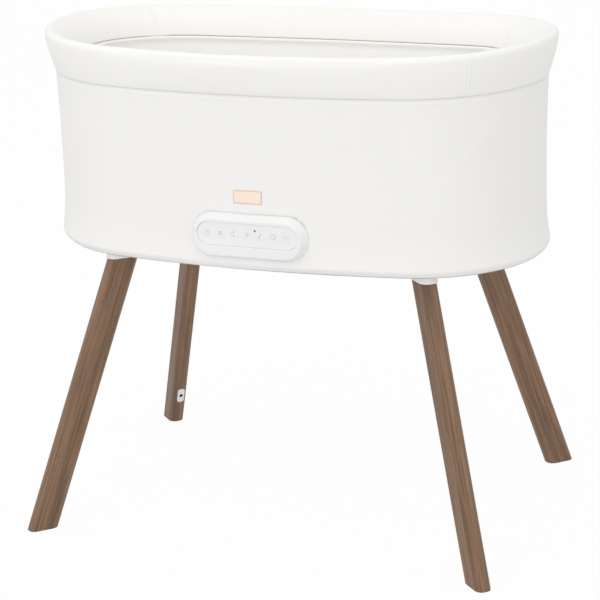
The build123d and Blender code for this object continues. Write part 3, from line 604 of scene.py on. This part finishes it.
class BASSINET_OT_side_cloth(Operator):
    """Make the outer cloth wall with its hem, sewn welt, pull line and the panel's window"""

    bl_idname = "bassinet.side_cloth"
    bl_label = "Side Cloth"

    # The pull line's two ends on the wall
    pull_top = Vector((0.3992, -0.1029, 0.762))
    pull_foot = Vector((0.2991, -0.1925, 0.622))

    def crease(self, line, along, height):
        """The long shallow pull line that runs down from the rim at the front right."""
        top = line.measure(self.pull_top)[0], self.pull_top.z
        foot = line.measure(self.pull_foot)[0], self.pull_foot.z
        path = (foot[0] - top[0], foot[1] - top[1])
        size = math.hypot(*path)
        half = line.around / 2
        offset = ((along - top[0] + half) % line.around - half, height - top[1])
        share = (offset[0] * path[0] + offset[1] * path[1]) / size**2
        across = (offset[0] * path[1] - offset[1] * path[0]) / size
        fade = max(0.0, math.sin(math.pi * ramp(share, 0.0, 1.0))) ** 0.7
        ridge, valley = 0.0009 * sewn(across, 0.007), 0.0006 * sewn(across - 0.014, 0.01)
        return fade * (ridge - valley)

    def execute(self, context):
        sizes, colours, line = chosen(context)
        fine, coarse = 0.0008, 0.0082
        welt = sizes.wall_top - sizes.welt_drop
        near_welt = [wall_girth(sizes, welt)[0] + fine * step for step in range(-9, 5)]
        near_hem = [fine * step for step in range(24)]
        body = [0.0195 + coarse * step for step in range(31)]
        girths = near_hem + [girth for girth in body if girth < near_welt[0] - 0.002] + near_welt
        section = [wall_place(sizes, girth)[:2] for girth in girths]
        section += [(-sizes.tuck_inset, height) for height in (0.7745, 0.794)]
        bm = bmesh.new()
        line.sweep(bm, section, end_steps=112, side_steps=84)
        face_outwards(bm, line)

        for vert in bm.verts:
            if vert.co.z < sizes.wall_top + 0.004:
                self.draw_in(vert, line, sizes, welt)
        for vert in bm.verts:
            reach = ramp(vert.co.z, RISE_START, sizes.wall_top)
            vert.co.z += sizes.rim_outer_rise * end_share(sizes, vert.co) * reach**2

        self.open_window(bm)
        line.unwrap(bm, lambda out, height: wall_girth(sizes, height)[0])
        finish = cloth_finish("wall_cloth", colours.wall_cloth, pitch=0.0011, uneven=0.012, sheen=0.15)
        piece = piece_from("side_cloth", bm, finish, "stand", ["side_fabric"])
        thicken(piece, sizes.cloth_thickness)
        line.around - math.tau * 0.006
        run(section)
        self.sew_hem(line, sizes, colours)
        return {"FINISHED"}

    def draw_in(self, vert, line, sizes, welt):
        """Move a point of the wall as the cloth's slack, pull line, welt and hem stitches do."""
        along = line.measure(vert.co)[0]
        height = vert.co.z
        girth, tilt = wall_girth(sizes, height)
        gathered = noise.noise(Vector((along * 9.0, 0.4, 0.0))) * ramp(height, 0.60, 0.77) ** 2
        slack = noise.noise(Vector((along * 5.0, height * 4.0, 2.0)))
        shift = 0.00035 * gathered + 0.0005 * slack
        shift += self.crease(line, along, height)
        shift += 0.0003 * sewn(height - welt, 0.0013) - 0.0001 * sewn(height - welt + 0.003, 0.001)
        shift -= 0.0005 * sewn(girth - sizes.hem_depth, 0.0009)
        vert.co += (line.outward(vert.co) * math.cos(tilt) - Vector((0, 0, math.sin(tilt)))) * shift

    def open_window(self, bm):
        """Cut the window that the panel's sleeve passes through, and fit its edge to a pill."""
        low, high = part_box("panel_plate")
        center = (low + high) / 2
        wider = 0.0042
        radius = (high.z - low.z) / 2 + wider
        reach = (high.x - low.x) / 2 + wider - radius

        def clear(co):
            across = max(abs(co.x - center.x) - reach, 0.0)
            return math.hypot(across, co.z - center.z) - radius

        inside = [face for face in bm.faces
                  if face.calc_center_median().y < 0 and min(clear(vert.co) for vert in face.verts) < 0]
        bmesh.ops.delete(bm, geom=inside, context="FACES")
        for edge in [edge for edge in bm.edges if edge.is_boundary]:
            for vert in edge.verts:
                gap = clear(vert.co)
                if vert.co.y < 0 and gap < 0.012:
                    middle = min(max(vert.co.x, center.x - reach), center.x + reach)
                    hub = Vector((middle, vert.co.y, center.z))
                    vert.co = hub + (vert.co - hub).normalized() * radius

    def sew_hem(self, line, sizes, colours):
        """The hem's row of stitches."""
        count = round(line.around / sizes.stitch_pitch)
        out, height, tilt = wall_place(sizes, sizes.hem_depth)
        places = []
        for step in range(count):
            along = line.around * step / count
            point = line.point(along, out - 0.0004, height)
            outward = line.outward(point)
            normal = outward * math.cos(tilt) - Vector((0, 0, math.sin(tilt)))
            places.append((point, Vector((0, 0, 1)).cross(outward), normal))
        bm = bmesh.new()
        stitch_row(bm, places, stitch_length=sizes.stitch_pitch * 0.66, thickness=0.0005)
        finish = plastic_finish("hem_thread", colours.thread, rough=0.65, grain=0.2)
        piece_from("hem_stitches", bm, finish, "stand")


class BASSINET_OT_rim_pad(Operator):
    """Make the padded rim, swollen by a short cloth run, with its four cover seams"""

    bl_idname = "bassinet.rim_pad"
    bl_label = "Rim Pad"

    # The slot for the hoop and points of the outline, outwards from the body line and in height
    slot_outer, slot_inner, slot_roof = -0.0092, -0.031, 0.8085
    outer_foot, shoulder = (-0.0049, 0.7748), (0.0100, 0.8290)
    crest, inner_foot, inner_toe = (0.0022, 0.8402), (-0.0434, 0.7908), (-0.0417, 0.7892)
    # The lowest and highest levels, the weave's middle and radius, and the seams' reach from their centre
    pad_foot, pad_top = 0.774, 0.841
    wrap_out, wrap_height, wrap_radius = -0.018, 0.800, 0.036
    seam_reach = 0.215

    def section(self):
        """The pad's outline as outward and height pairs, from the slot over the crest and back."""
        outer, inner, roof = self.slot_outer, self.slot_inner, self.slot_roof
        points = [(outer, roof), (outer, 0.800), (outer, 0.788), (-0.0091, 0.7775)]
        points += bow((-0.0088, 0.7752), (-0.0069, 0.7741), self.outer_foot, 3)
        points += bow(self.outer_foot, (0.0044, 0.8025), self.shoulder, 15)
        points += bow(self.shoulder, (0.0087, 0.8372), self.crest, 8)
        points += bow(self.crest, (-0.0275, 0.8205), self.inner_foot, 22)
        points += bow(self.inner_foot, (-0.0430, 0.7896), self.inner_toe, 3)
        points += [self.inner_toe, (-0.0325, 0.7897), (-0.0311, 0.7915), (inner, 0.799), (inner, roof)]
        points += [(-0.024, roof), (-0.0165, roof)]
        return points

    def lifted(self, sizes, out, height):
        """How much a point of the pad rises at the ends."""
        inward = ramp(out, self.slot_outer, self.slot_inner)
        upward = ramp(height, self.pad_foot, self.pad_top)
        low = sizes.rim_outer_rise + (sizes.rim_inner_rise - sizes.rim_outer_rise) * inward
        return low + (sizes.rim_crest_rise - low) * upward

    def girth(self, out, height):
        """A point's distance round the pad, for the weave of its cover."""
        return self.wrap_radius * math.atan2(out - self.wrap_out, height - self.wrap_height)

    def seams(self, line, sizes):
        """Each cover seam as its arc's centre and its angle."""
        found = []
        for index, middle in ((0, 0.0), (2, math.pi)):
            found += [(line.arcs[index][0], middle + side * sizes.seam_angle) for side in (-1, 1)]
        return found

    def in_slot(self, line, co):
        """Whether a point lies in the slot that takes the hoop and the cloth."""
        out = line.measure(co)[1]
        margin = 0.0025
        within = self.slot_inner - margin < out < self.slot_outer + margin
        return within and co.z < self.slot_roof + margin

    def execute(self, context):
        sizes, colours, line = chosen(context)
        bm = bmesh.new()
        line.sweep(bm, self.section(), end_steps=104, side_steps=70, closed=True)
        bmesh.ops.recalc_face_normals(bm, faces=bm.faces)
        mesh = bpy.data.meshes.new("rim_trial")
        bm.to_mesh(mesh)
        foot_line = self.pad_foot + 0.0025
        held = [vert.index for vert in mesh.vertices
                if self.in_slot(line, vert.co) or vert.co.z < foot_line]
        moved = puffed(mesh, held, pressure=3.0, cap=sizes.rim_cap, frames=sizes.puff_frames)
        bm.verts.ensure_lookup_table()
        for vert, place in zip(bm.verts, moved):
            # The cover swells less towards its seams
            away = ramp(self.near_seam(line, sizes, vert.co), 0.0, 0.03)
            vert.co = vert.co.lerp(place, 0.35 + 0.65 * away * away * (3 - 2 * away))
        bpy.data.meshes.remove(mesh)

        self.cut_seams(bm, line, sizes)
        for vert in bm.verts:
            out = line.measure(vert.co)[1]
            vert.co.z += self.lifted(sizes, out, vert.co.z) * end_share(sizes, vert.co)
        shape = BVHTree.FromBMesh(bm)
        line.unwrap(bm, self.girth)
        finish = cloth_finish("rim_cloth", colours.rim_cloth, pitch=0.0010, uneven=0.01, sheen=0.2)
        piece = piece_from("rim_cover", bm, finish, "stand", ["rim_pad"])
        self.sew_seams(shape, line, sizes, colours)
        return {"FINISHED"}

    def near_seam(self, line, sizes, co):
        """Distance from the nearest cover seam."""
        best = 1.0
        for center, angle in self.seams(line, sizes):
            spoke = Vector((co.x - center.x, co.y - center.y))
            turned = (math.atan2(spoke.y, spoke.x) - angle + math.pi) % math.tau - math.pi
            if abs(turned) < 1.0:
                best = min(best, abs(turned) * spoke.length)
        return best

    def cut_seams(self, bm, line, sizes):
        """Cut fine columns at each seam, then sink two stitch lines with a raised strip between."""
        column, raised, sunk, slope = 0.0005, 0.00035, 0.0008, 0.0008
        for center, angle in self.seams(line, sizes):
            for step in range(-14, 15):
                turned = angle + step * column / self.seam_reach
                spoke = Vector((math.cos(turned), math.sin(turned), 0))
                normal = Vector((0, 0, 1)).cross(spoke)
                near = []
                for face in bm.faces:
                    offset = face.calc_center_median() - center
                    if offset.dot(spoke) > 0.1 and abs(offset.dot(normal)) < 0.02:
                        near.append(face)
                edges = {edge for face in near for edge in face.edges}
                verts = {vert for face in near for vert in face.verts}
                bmesh.ops.bisect_plane(
                    bm, geom=near + list(edges) + list(verts), dist=1e-6, plane_co=center, plane_no=normal
                )
        bm.normal_update()
        shifts = []
        for vert in bm.verts:
            away = self.near_seam(line, sizes, vert.co)
            if away < 0.012 and not self.in_slot(line, vert.co):
                half = sizes.seam_width / 2
                strip = raised * (1 - ramp(away, half - slope, half))
                shifts.append((vert, vert.normal * (strip - sunk * sewn(away - half, 0.0006))))
        for vert, shift in shifts:
            vert.co += shift

    def sew_seams(self, shape, line, sizes, colours):
        """Two rows of stitches along every seam."""
        # Only the seen stretch of the outline, from the outer foot over the crest to the inner foot
        outline = self.section()[6:-9]
        pitch = 0.0042
        radius = line.arcs[0][1]
        places = []
        for center, angle in self.seams(line, sizes):
            for side in (-1, 1):
                spoke_angle = angle + side * (sizes.seam_width / 2) / self.seam_reach
                spoke = Vector((math.cos(spoke_angle), math.sin(spoke_angle), 0))
                walked = 0.0
                for first, last in zip(outline, outline[1:]):
                    walked += math.dist(first, last)
                    if walked < pitch:
                        continue
                    walked = 0.0
                    target = center + spoke * (radius + last[0]) + Vector((0, 0, last[1]))
                    target.z += self.lifted(sizes, *last) * end_share(sizes, target)
                    point, normal, _, _ = shape.find_nearest(target)
                    direction = normal.cross(Vector((0, 0, 1)).cross(spoke)).normalized()
                    places.append((point, direction, normal))
        bm = bmesh.new()
        stitch_row(bm, places, stitch_length=0.0028, thickness=0.0006)
        finish = plastic_finish("rim_thread", colours.thread, rough=0.65, grain=0.2)
        piece_from("rim_stitches", bm, finish, "stand")


class BASSINET_OT_liner(Operator):
    """Make the cloth wall inside the well"""

    bl_idname = "bassinet.liner"
    bl_label = "Inner Liner"

    def execute(self, context):
        sizes, colours, line = chosen(context)
        top, foot = liner_high.z - 0.002, liner_low.z
        hung, under_pad = (-0.0306, 0.7915), (-0.0338, 0.7899)
        roll_top, roll_nose, roll_foot = (-0.0424, 0.7899), (-0.0454, 0.7874), (-0.0432, 0.7838)
        low_wall, hem = (-0.0422, 0.62), (-0.0424, foot)
        section = [(hung[0], top - (top - hung[1]) * step / 4) for step in range(4)]
        section += bow(hung, (-0.0314, 0.7903), under_pad, 4)
        section += bow(under_pad, (-0.0380, 0.7899), roll_top, 3)
        section += bow(roll_top, (-0.0446, 0.7893), roll_nose, 5)
        section += bow(roll_nose, (-0.0448, 0.7851), roll_foot, 4)
        section += bow(roll_foot, (-0.0420, 0.70), low_wall, 18)
        section += bow(low_wall, (-0.0423, 0.585), hem, 8) + [hem]
        bm = bmesh.new()
        line.sweep(bm, section, end_steps=96, side_steps=64)
        face_outwards(bm, line, outside=False)
        ripple_depth, rise_end, rise_share = 0.0009, 0.785, 0.93
        for vert in bm.verts:
            along = line.measure(vert.co)[0]
            slack = max(0.0, math.sin(math.pi * (vert.co.z - foot) / (top - foot)))
            ripple = noise.noise(Vector((along * 11.0, vert.co.z * 3.0, 5.0)))
            vert.co += line.outward(vert.co) * (ripple_depth * slack * ripple)
            reach = ramp(vert.co.z, RISE_START, rise_end)
            vert.co.z += rise_share * sizes.rim_inner_rise * end_share(sizes, vert.co) * reach**2
        line.unwrap(bm, lambda out, height: height - 0.5 * out)
        finish = cloth_finish("liner_cloth", colours.liner_cloth, pitch=0.0013, uneven=0.015, sheen=0.1)
        piece = piece_from("liner_cloth", bm, finish, "stand", ["inner_liner"])
        thicken(piece, sizes.cloth_thickness)
        line.around - math.tau * 0.041
        run(section)
        return {"FINISHED"}


class BASSINET_OT_mattress(Operator):
    """Make the mattress: crowned top, drawn-in boxing and piped edges"""

    bl_idname = "bassinet.mattress"
    bl_label = "Mattress"

    def execute(self, context):
        sizes, colours, line = chosen(context)
        edge = bed_high.x - sizes.body_length / 2
        low, high = bed_low.z, bed_high.z - 0.006
        flat, turn, bite = edge - 0.066, 0.006, 0.0018
        waist, crown = 0.0036, 0.0042
        section = [(flat, low), (edge - 0.03, low), (edge - 0.008, low)]
        section += bow((edge - turn, low), (edge - bite, low + bite), (edge, low + turn), 4)
        section += bow((edge, low + turn), (edge - waist, (low + high) / 2), (edge, high - turn), 8)
        section += bow((edge, high - turn), (edge - bite, high - bite), (edge - turn, high), 4)
        section += bow((edge - turn, high), (edge - 0.033, high + 0.0036), (flat, high + crown), 6)
        section += [(flat, high + crown)]
        bm = bmesh.new()
        line.sweep(bm, section, end_steps=72, side_steps=48)
        bmesh.ops.holes_fill(bm, edges=[e for e in bm.edges if e.is_boundary], sides=0)
        bmesh.ops.triangulate(bm, faces=[face for face in bm.faces if len(face.verts) > 4])
        bmesh.ops.recalc_face_normals(bm, faces=bm.faces)
        finish = cloth_finish(
            "bed_cloth", colours.bed_cloth, pitch=0.0012, uneven=0.012, sheen=0.12, unwrapped=False
        )
        piece = piece_from("mattress_cover", bm, finish, "bed", ["mattress"])
        remesh = piece.modifiers.new("Even", "REMESH")
        remesh.mode = "VOXEL"
        remesh.voxel_size = 0.006
        shaped = piece.evaluated_get(bpy.context.evaluated_depsgraph_get())
        even = bpy.data.meshes.new_from_object(shaped)
        piece.modifiers.remove(remesh)
        piece.data = even
        held = [vert.index for vert in even.vertices if vert.co.z < low + 0.004]
        moved = puffed(even, held, pressure=4.0, cap=sizes.bed_cap, frames=sizes.puff_frames)
        for vert, place in zip(even.vertices, moved):
            place.z = max(place.z, low)
            vert.co = place
        even.shade_smooth()
        if not even.materials:
            even.materials.append(finish)
        smooth = piece.modifiers.new("Smooth", "SUBSURF")
        smooth.levels = smooth.render_levels = 1

        bm = bmesh.new()
        for height in (low + 0.0045, high - 0.0035):
            ring = []
            for step in range(12):
                angle = math.tau * step / 12
                ring.append((edge - 0.0012 + sizes.piping_radius * math.cos(angle),
                             height + sizes.piping_radius * math.sin(angle)))
            line.sweep(bm, ring, end_steps=72, side_steps=48, closed=True)
        bmesh.ops.recalc_face_normals(bm, faces=bm.faces)
        piece_from("mattress_piping", bm, finish, "bed")
        return {"FINISHED"}


class BASSINET_OT_tag(Operator):
    """Make the bare sewn tag over the panel"""

    bl_idname = "bassinet.tag"
    bl_label = "Side Tag"

    def execute(self, context):
        sizes, colours, line = chosen(context)
        center = (tag_low + tag_high) / 2
        size = tag_high - tag_low
        proud, edge_dent, stitch_dent = 0.0013, 0.0007, 0.0003
        bm = bmesh.new()
        bmesh.ops.create_grid(bm, x_segments=70, y_segments=32, size=0.5)
        bmesh.ops.scale(bm, vec=(size.x, size.z, 1), verts=bm.verts)
        for vert in bm.verts:
            from_edge = min(size.x / 2 - abs(vert.co.x), size.z / 2 - abs(vert.co.y))
            lift = proud - edge_dent * sewn(from_edge, 0.0007)
            lift -= stitch_dent * sewn(from_edge - sizes.tag_edge, 0.0005)
            height = center.z + vert.co.y
            x = center.x + vert.co.x
            out = wall_offset(sizes, height) + lift
            hub, radius = line.arcs[3][0], line.arcs[3][1] + out
            vert.co = Vector((x, hub.y - math.sqrt(radius**2 - x**2), height))
        face_outwards(bm, line)
        finish = self.tag_finish(colours, center, size, sizes)
        piece = piece_from("sewn_tag", bm, finish, "stand", ["side_tag"])
        thicken(piece, sizes.tag_thickness)
        return {"FINISHED"}

    def tag_finish(self, colours, center, size, sizes):
        """Smooth woven tape with a darker sewn border."""
        material, start = new_finish("tag_cloth")
        coords = start.coords()
        split = {name: start.node("ShaderNodeSeparateXYZ", {}, {"Vector": coords}, name) for name in "XZ"}
        across = split["X"] - center.x
        upward = split["Z"] - center.z
        from_side = size.x / 2 - across.maths("ABSOLUTE", across)
        from_top = size.z / 2 - upward.maths("ABSOLUTE", upward)
        from_edge = from_side.maths("MINIMUM", from_side, from_top)
        border = 1 - from_edge.span(sizes.tag_edge * 0.5, sizes.tag_edge * 0.95)
        weave = start.noise(
            start.node("ShaderNodeMapping", {}, {"Vector": coords, "Scale": (1.0, 1.0, 6.0)}), 900.0, 2.0
        )
        base = start.mix(weave, dimmed(colours.tag_cloth, 0.97), dimmed(colours.tag_cloth, 1.0))
        edged = start.mix(border * 0.8, base, dimmed(colours.tag_thread, 1.0))
        show(start, {
            "Base Color": edged, "Roughness": weave * 0.1 + 0.55, "Sheen Weight": 0.1,
            "Normal": start.bump(0.3, 0.0001, weave + border),
        })
        return material


class BASSINET_OT_key_symbols(Operator):
    """Print a plain symbol on each key"""

    bl_idname = "bassinet.key_symbols"
    bl_label = "Key Symbols"

    def ring(self, x, z, radius, start, turn):
        """Points round part of a circle."""
        steps = max(6, round(abs(turn) / 12))
        angles = [math.radians(start + turn * step / steps) for step in range(steps + 1)]
        return [(x + radius * math.cos(a), z + radius * math.sin(a)) for a in angles]

    def strokes(self):
        """The seven symbols as lines from a key's middle, in symbol units."""
        wave = [[(0.25 * step - 3.0, row + 0.55 * math.sin(step * math.tau / 12)) for step in range(25)]
                for row in (-2.0, 0.0, 2.0)]
        rays = [[(2.4 * math.cos(a), 2.4 * math.sin(a)), (3.7 * math.cos(a), 3.7 * math.sin(a))]
                for a in (math.tau * step / 8 for step in range(8))]
        return [
            [self.ring(0, -0.3, 3.0, 118, 304), [(0, 0.4), (0, 3.6)]],
            wave,
            [self.ring(0, 0, 3.3, 62, 236), self.ring(1.9, 0.2, 2.5, 98, 164)],
            [self.ring(0, 0, 1.5, 0, 360)] + rays,
            [self.ring(-1.4, -2.2, 1.2, 0, 360), [(-0.2, -2.2), (-0.2, 3.2)],
             [(-0.2, 3.2), (2.0, 1.7), (2.2, 0.3)]],
            [self.ring(0, 0, 3.2, 0, 360), [(0, 2.0), (0, 0), (1.6, -0.9)]],
            [[(-3.2, 1.2), (-1.4, 1.2), (0.6, 3.0), (0.6, -3.0), (-1.4, -1.2), (-3.2, -1.2), (-3.2, 1.2)],
             self.ring(0.6, 0, 2.2, -48, 96)],
        ]

    def execute(self, context):
        sizes, colours, _ = chosen(context)
        unit, flatness = sizes.symbol_unit, 0.12
        finish = plastic_finish("symbol_print", colours.symbol_print, rough=0.6, grain=0.05)
        for number, lines in enumerate(self.strokes(), start=1):
            low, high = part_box(f"key_{number}")
            center = (low + high) / 2
            curve = bpy.data.curves.new(f"symbol_line_{number}", "CURVE")
            curve.dimensions = "3D"
            curve.bevel_depth = sizes.symbol_stroke / 2
            curve.bevel_resolution = 1
            for points in lines:
                spline = curve.splines.new("POLY")
                spline.points.add(len(points) - 1)
                for knot, (x, z) in zip(spline.points, points):
                    knot.co = (x * unit, 0.0, z * unit, 1.0)
            drawn = bpy.data.objects.new(f"symbol_line_{number}", curve)
            bpy.context.scene.collection.objects.link(drawn)
            shaped = drawn.evaluated_get(bpy.context.evaluated_depsgraph_get())
            flat = bpy.data.meshes.new_from_object(shaped)
            bpy.data.objects.remove(drawn)
            bm = bmesh.new()
            bm.from_mesh(flat)
            bpy.data.meshes.remove(flat)
            bmesh.ops.scale(bm, vec=(1, flatness, 1), verts=bm.verts)
            bmesh.ops.translate(bm, vec=(center.x, low.y, center.z), verts=bm.verts)
            piece_from(f"key_symbol_{number}", bm, finish, f"button_{number}")
        return {"FINISHED"}


class BASSINET_OT_legs(Operator):
    """Finish the walnut legs and their foot pads"""

    bl_idname = "bassinet.legs"
    bl_label = "Legs"

    def execute(self, context):
        colours = context.scene.bassinet_colours
        for number, corner in enumerate(CORNERS):
            foot, top = leg_ends(corner)
            # Each leg's grain starts elsewhere, so that no two look alike
            start = foot - (top - foot) * 3 * number
            wood = walnut_finish(f"walnut_{corner}", colours.walnut_light, colours.walnut_dark, start, top)
            dress(wood, f"leg_{corner}")
        dress(plastic_finish("foot_rubber", colours.rubber, rough=0.75, grain=0.4), "foot_pads")
        return {"FINISHED"}


class BASSINET_OT_mouldings(Operator):
    """Finish the tray, collars, panel and power inlet"""

    bl_idname = "bassinet.mouldings"
    bl_label = "Mouldings"

    def execute(self, context):
        colours = context.scene.bassinet_colours
        white = plastic_finish("white_plastic", colours.white_plastic, rough=0.42, grain=0.12)
        face = plastic_finish("panel_face", colours.panel_face, rough=0.48, grain=0.1)
        black = plastic_finish("black_plastic", colours.black_plastic, rough=0.4, grain=0.2)
        dress(white, "base_tray", "panel_bezel", "inlet_plate")
        dress(white, *(f"leg_collar_{corner}" for corner in CORNERS))
        dress(face, "panel_plate", *(f"key_{number}" for number in range(1, 8)))
        dress(black, "panel_lens", "speaker")
        foot, top = leg_ends("rear_left")
        along = (top - foot).normalized()
        inward = Vector((0, 0, 1)).cross(along).normalized().cross(along)
        low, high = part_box("inlet_socket")
        center, bore_radius = (low + high) / 2, 0.0033
        socket = socket_finish(
            "inlet_socket", colours.white_plastic, colours.black_plastic, center, inward, bore_radius
        )
        dress(socket, "inlet_socket")
        return {"FINISHED"}


class BASSINET_OT_mechanism(Operator):
    """Finish the hoop, posts, drive, rollers, deck and boards"""

    bl_idname = "bassinet.mechanism"
    bl_label = "Mechanism"

    def execute(self, context):
        colours = context.scene.bassinet_colours
        drawn = metal_finish("drawn_steel", colours.steel, rough=0.26, stretch=(0.1, 0.1, 1.0))
        dress(drawn, "rim_hoop", "rim_posts", "roller_brackets", "roller_axles", "pivot_post")
        dress(drawn, "leg_bolts", "motor_screws", "board_screws")
        can = metal_finish("motor_can", colours.motor_metal, rough=0.34, stretch=(1.0, 1.0, 0.08))
        dress(can, "drive_motor")
        brass = metal_finish("bush_brass", colours.brass, rough=0.3, stretch=(1.0, 1.0, 0.1))
        dress(brass, "pivot_bush")
        natural = plastic_finish("gear_plastic", colours.gear_plastic, rough=0.45, grain=0.1)
        dress(natural, "gear_sector", "drive_pinion", *(f"support_roller_{number}" for number in range(1, 5)))
        dress(plastic_finish("deck_plastic", colours.deck_plastic, rough=0.5, grain=0.3), "sway_platform")
        dress(board_finish("circuit_board", colours.board, colours.copper), "control_board", "panel_board")
        return {"FINISHED"}


class BASSINET_OT_stage(Operator):
    """Lay the pale floor, set the soft lights and place the camera"""

    bl_idname = "bassinet.stage"
    bl_label = "Stage"

    def execute(self, context):
        scene = context.scene
        scene.view_settings.view_transform = "Standard"
        bm = bmesh.new()
        reach, drop = 30.0, 0.0004
        bmesh.ops.create_grid(bm, x_segments=1, y_segments=1, size=reach)
        bmesh.ops.translate(bm, vec=(0, 0, -drop), verts=bm.verts)
        mesh = bpy.data.meshes.new("floor")
        bm.to_mesh(mesh)
        bm.free()
        floor = bpy.data.objects.new("floor", mesh)
        scene.collection.objects.link(floor)
        mesh.materials.append(self.floor_finish())
        self.surround(scene)
        self.lamp("key_light", place=(-1.5, -4.1, 2.3), target=(0.0, 0.0, 0.6), size=2.4, power=23.0)
        self.lamp("fill_light", place=(3.6, -2.2, 1.8), target=(0.0, 0.0, 0.6), size=2.4, power=12.0)
        self.lamp("top_light", place=(-0.4, -1.6, 4.0), target=(0.0, 0.1, 0.7), size=2.6, power=21.0)
        self.camera(scene)
        return {"FINISHED"}

    def seen(self, start):
        """1 for rays that show the background: from the camera, in gloss and through glass."""
        direct, glossy, through = (
            start.node("ShaderNodeLightPath", output=f"Is {kind} Ray")
            for kind in ("Camera", "Glossy", "Transmission")
        )
        return start.maths("MAXIMUM", direct, start.maths("MAXIMUM", glossy, through))

    def floor_finish(self):
        """Pale floor that stays white to the camera and keeps a light shadow."""
        material, start = new_finish("pale_floor")
        glow_share = 0.97
        matt = start.node("ShaderNodeBsdfDiffuse", {}, {"Color": (0.8, 0.8, 0.8, 1)})
        glow = start.node("ShaderNodeEmission", {}, {"Color": (1, 1, 1, 1), "Strength": 1.0})
        mixed = start.node("ShaderNodeMixShader", {}, {0: self.seen(start) * glow_share, 1: matt, 2: glow})
        start.node("ShaderNodeOutputMaterial", {}, {"Surface": mixed})
        return material

    def surround(self, scene):
        """Even soft light from all round, plain white to the camera."""
        world = bpy.data.worlds.new("studio")
        world.use_nodes = True
        world.node_tree.nodes.clear()
        start = Wire(world.node_tree)
        soft = start.node("ShaderNodeBackground", {}, {"Color": (1.0, 1.0, 1.0, 1), "Strength": 0.82})
        white = start.node("ShaderNodeBackground", {}, {"Color": (1.0, 1.0, 1.0, 1), "Strength": 1.0})
        mixed = start.node("ShaderNodeMixShader", {}, {0: self.seen(start), 1: soft, 2: white})
        start.node("ShaderNodeOutputWorld", {}, {"Surface": mixed})
        scene.world = world

    def lamp(self, name, place, target, size, power):
        """A square soft light aimed at a point."""
        light = bpy.data.lights.new(name, "AREA")
        light.size = size
        light.energy = power
        lamp = bpy.data.objects.new(name, light)
        lamp.location = place
        lamp.rotation_euler = (Vector(target) - Vector(place)).to_track_quat("-Z", "Y").to_euler()
        bpy.context.scene.collection.objects.link(lamp)

    def camera(self, scene):
        """The view from the front right, a little above, with a slight roll."""
        turn, rise, roll = math.radians(20.85), math.radians(17.52), math.radians(-1.63)
        aim, distance = Vector((0, 0, 0.3651)), 3.4101
        focal_px, picture_px = 1948.7, 600.0
        back = Vector((math.sin(turn) * math.cos(rise), -math.cos(turn) * math.cos(rise), math.sin(rise)))
        right = Vector((math.cos(turn), math.sin(turn), 0))
        upward = back.cross(right)
        level = right * math.cos(roll) + upward * math.sin(roll)
        tall = upward * math.cos(roll) - right * math.sin(roll)
        lens = bpy.data.cameras.new("camera")
        lens.sensor_width = 36.0
        lens.lens = focal_px * lens.sensor_width / picture_px
        lens.shift_x = -0.006
        lens.clip_end = 200.0
        camera = bpy.data.objects.new("camera", lens)
        turned = Matrix((level, tall, back)).transposed().to_4x4()
        camera.matrix_world = Matrix.Translation(aim + back * distance) @ turned
        scene.collection.objects.link(camera)
        scene.camera = camera


STEPS = (
    "side_cloth", "rim_pad", "liner", "mattress", "tag",
    "key_symbols", "legs", "mouldings", "mechanism", "stage",
)


class BASSINET_PT_tools(Panel):
    """Lists the bassinet's pieces and settings"""

    bl_idname = "BASSINET_PT_tools"
    bl_label = "Bassinet"
    bl_space_type = "VIEW_3D"
    bl_region_type = "UI"
    bl_category = "Bassinet"

    def draw(self, context):
        for step in STEPS:
            self.layout.operator(f"bassinet.{step}")
        for group in (context.scene.bassinet_sizes, context.scene.bassinet_colours):
            box = self.layout.box()
            for name in group.__annotations__:
                box.prop(group, name)


CLASSES = (
    BassinetSizes,
    BassinetColours,
    BASSINET_OT_side_cloth,
    BASSINET_OT_rim_pad,
    BASSINET_OT_liner,
    BASSINET_OT_mattress,
    BASSINET_OT_tag,
    BASSINET_OT_key_symbols,
    BASSINET_OT_legs,
    BASSINET_OT_mouldings,
    BASSINET_OT_mechanism,
    BASSINET_OT_stage,
    BASSINET_PT_tools,
)


def register():
    for kind in CLASSES:
        bpy.utils.register_class(kind)
    bpy.types.Scene.bassinet_sizes = PointerProperty(type=BassinetSizes)
    bpy.types.Scene.bassinet_colours = PointerProperty(type=BassinetColours)


def unregister():
    del bpy.types.Scene.bassinet_colours
    del bpy.types.Scene.bassinet_sizes
    for kind in reversed(CLASSES):
        bpy.utils.unregister_class(kind)


def main():
    """Register and make every piece in order."""
    register()
    for step in STEPS:
        getattr(bpy.ops.bassinet, step)()


if __name__ == "__main__":
    main()
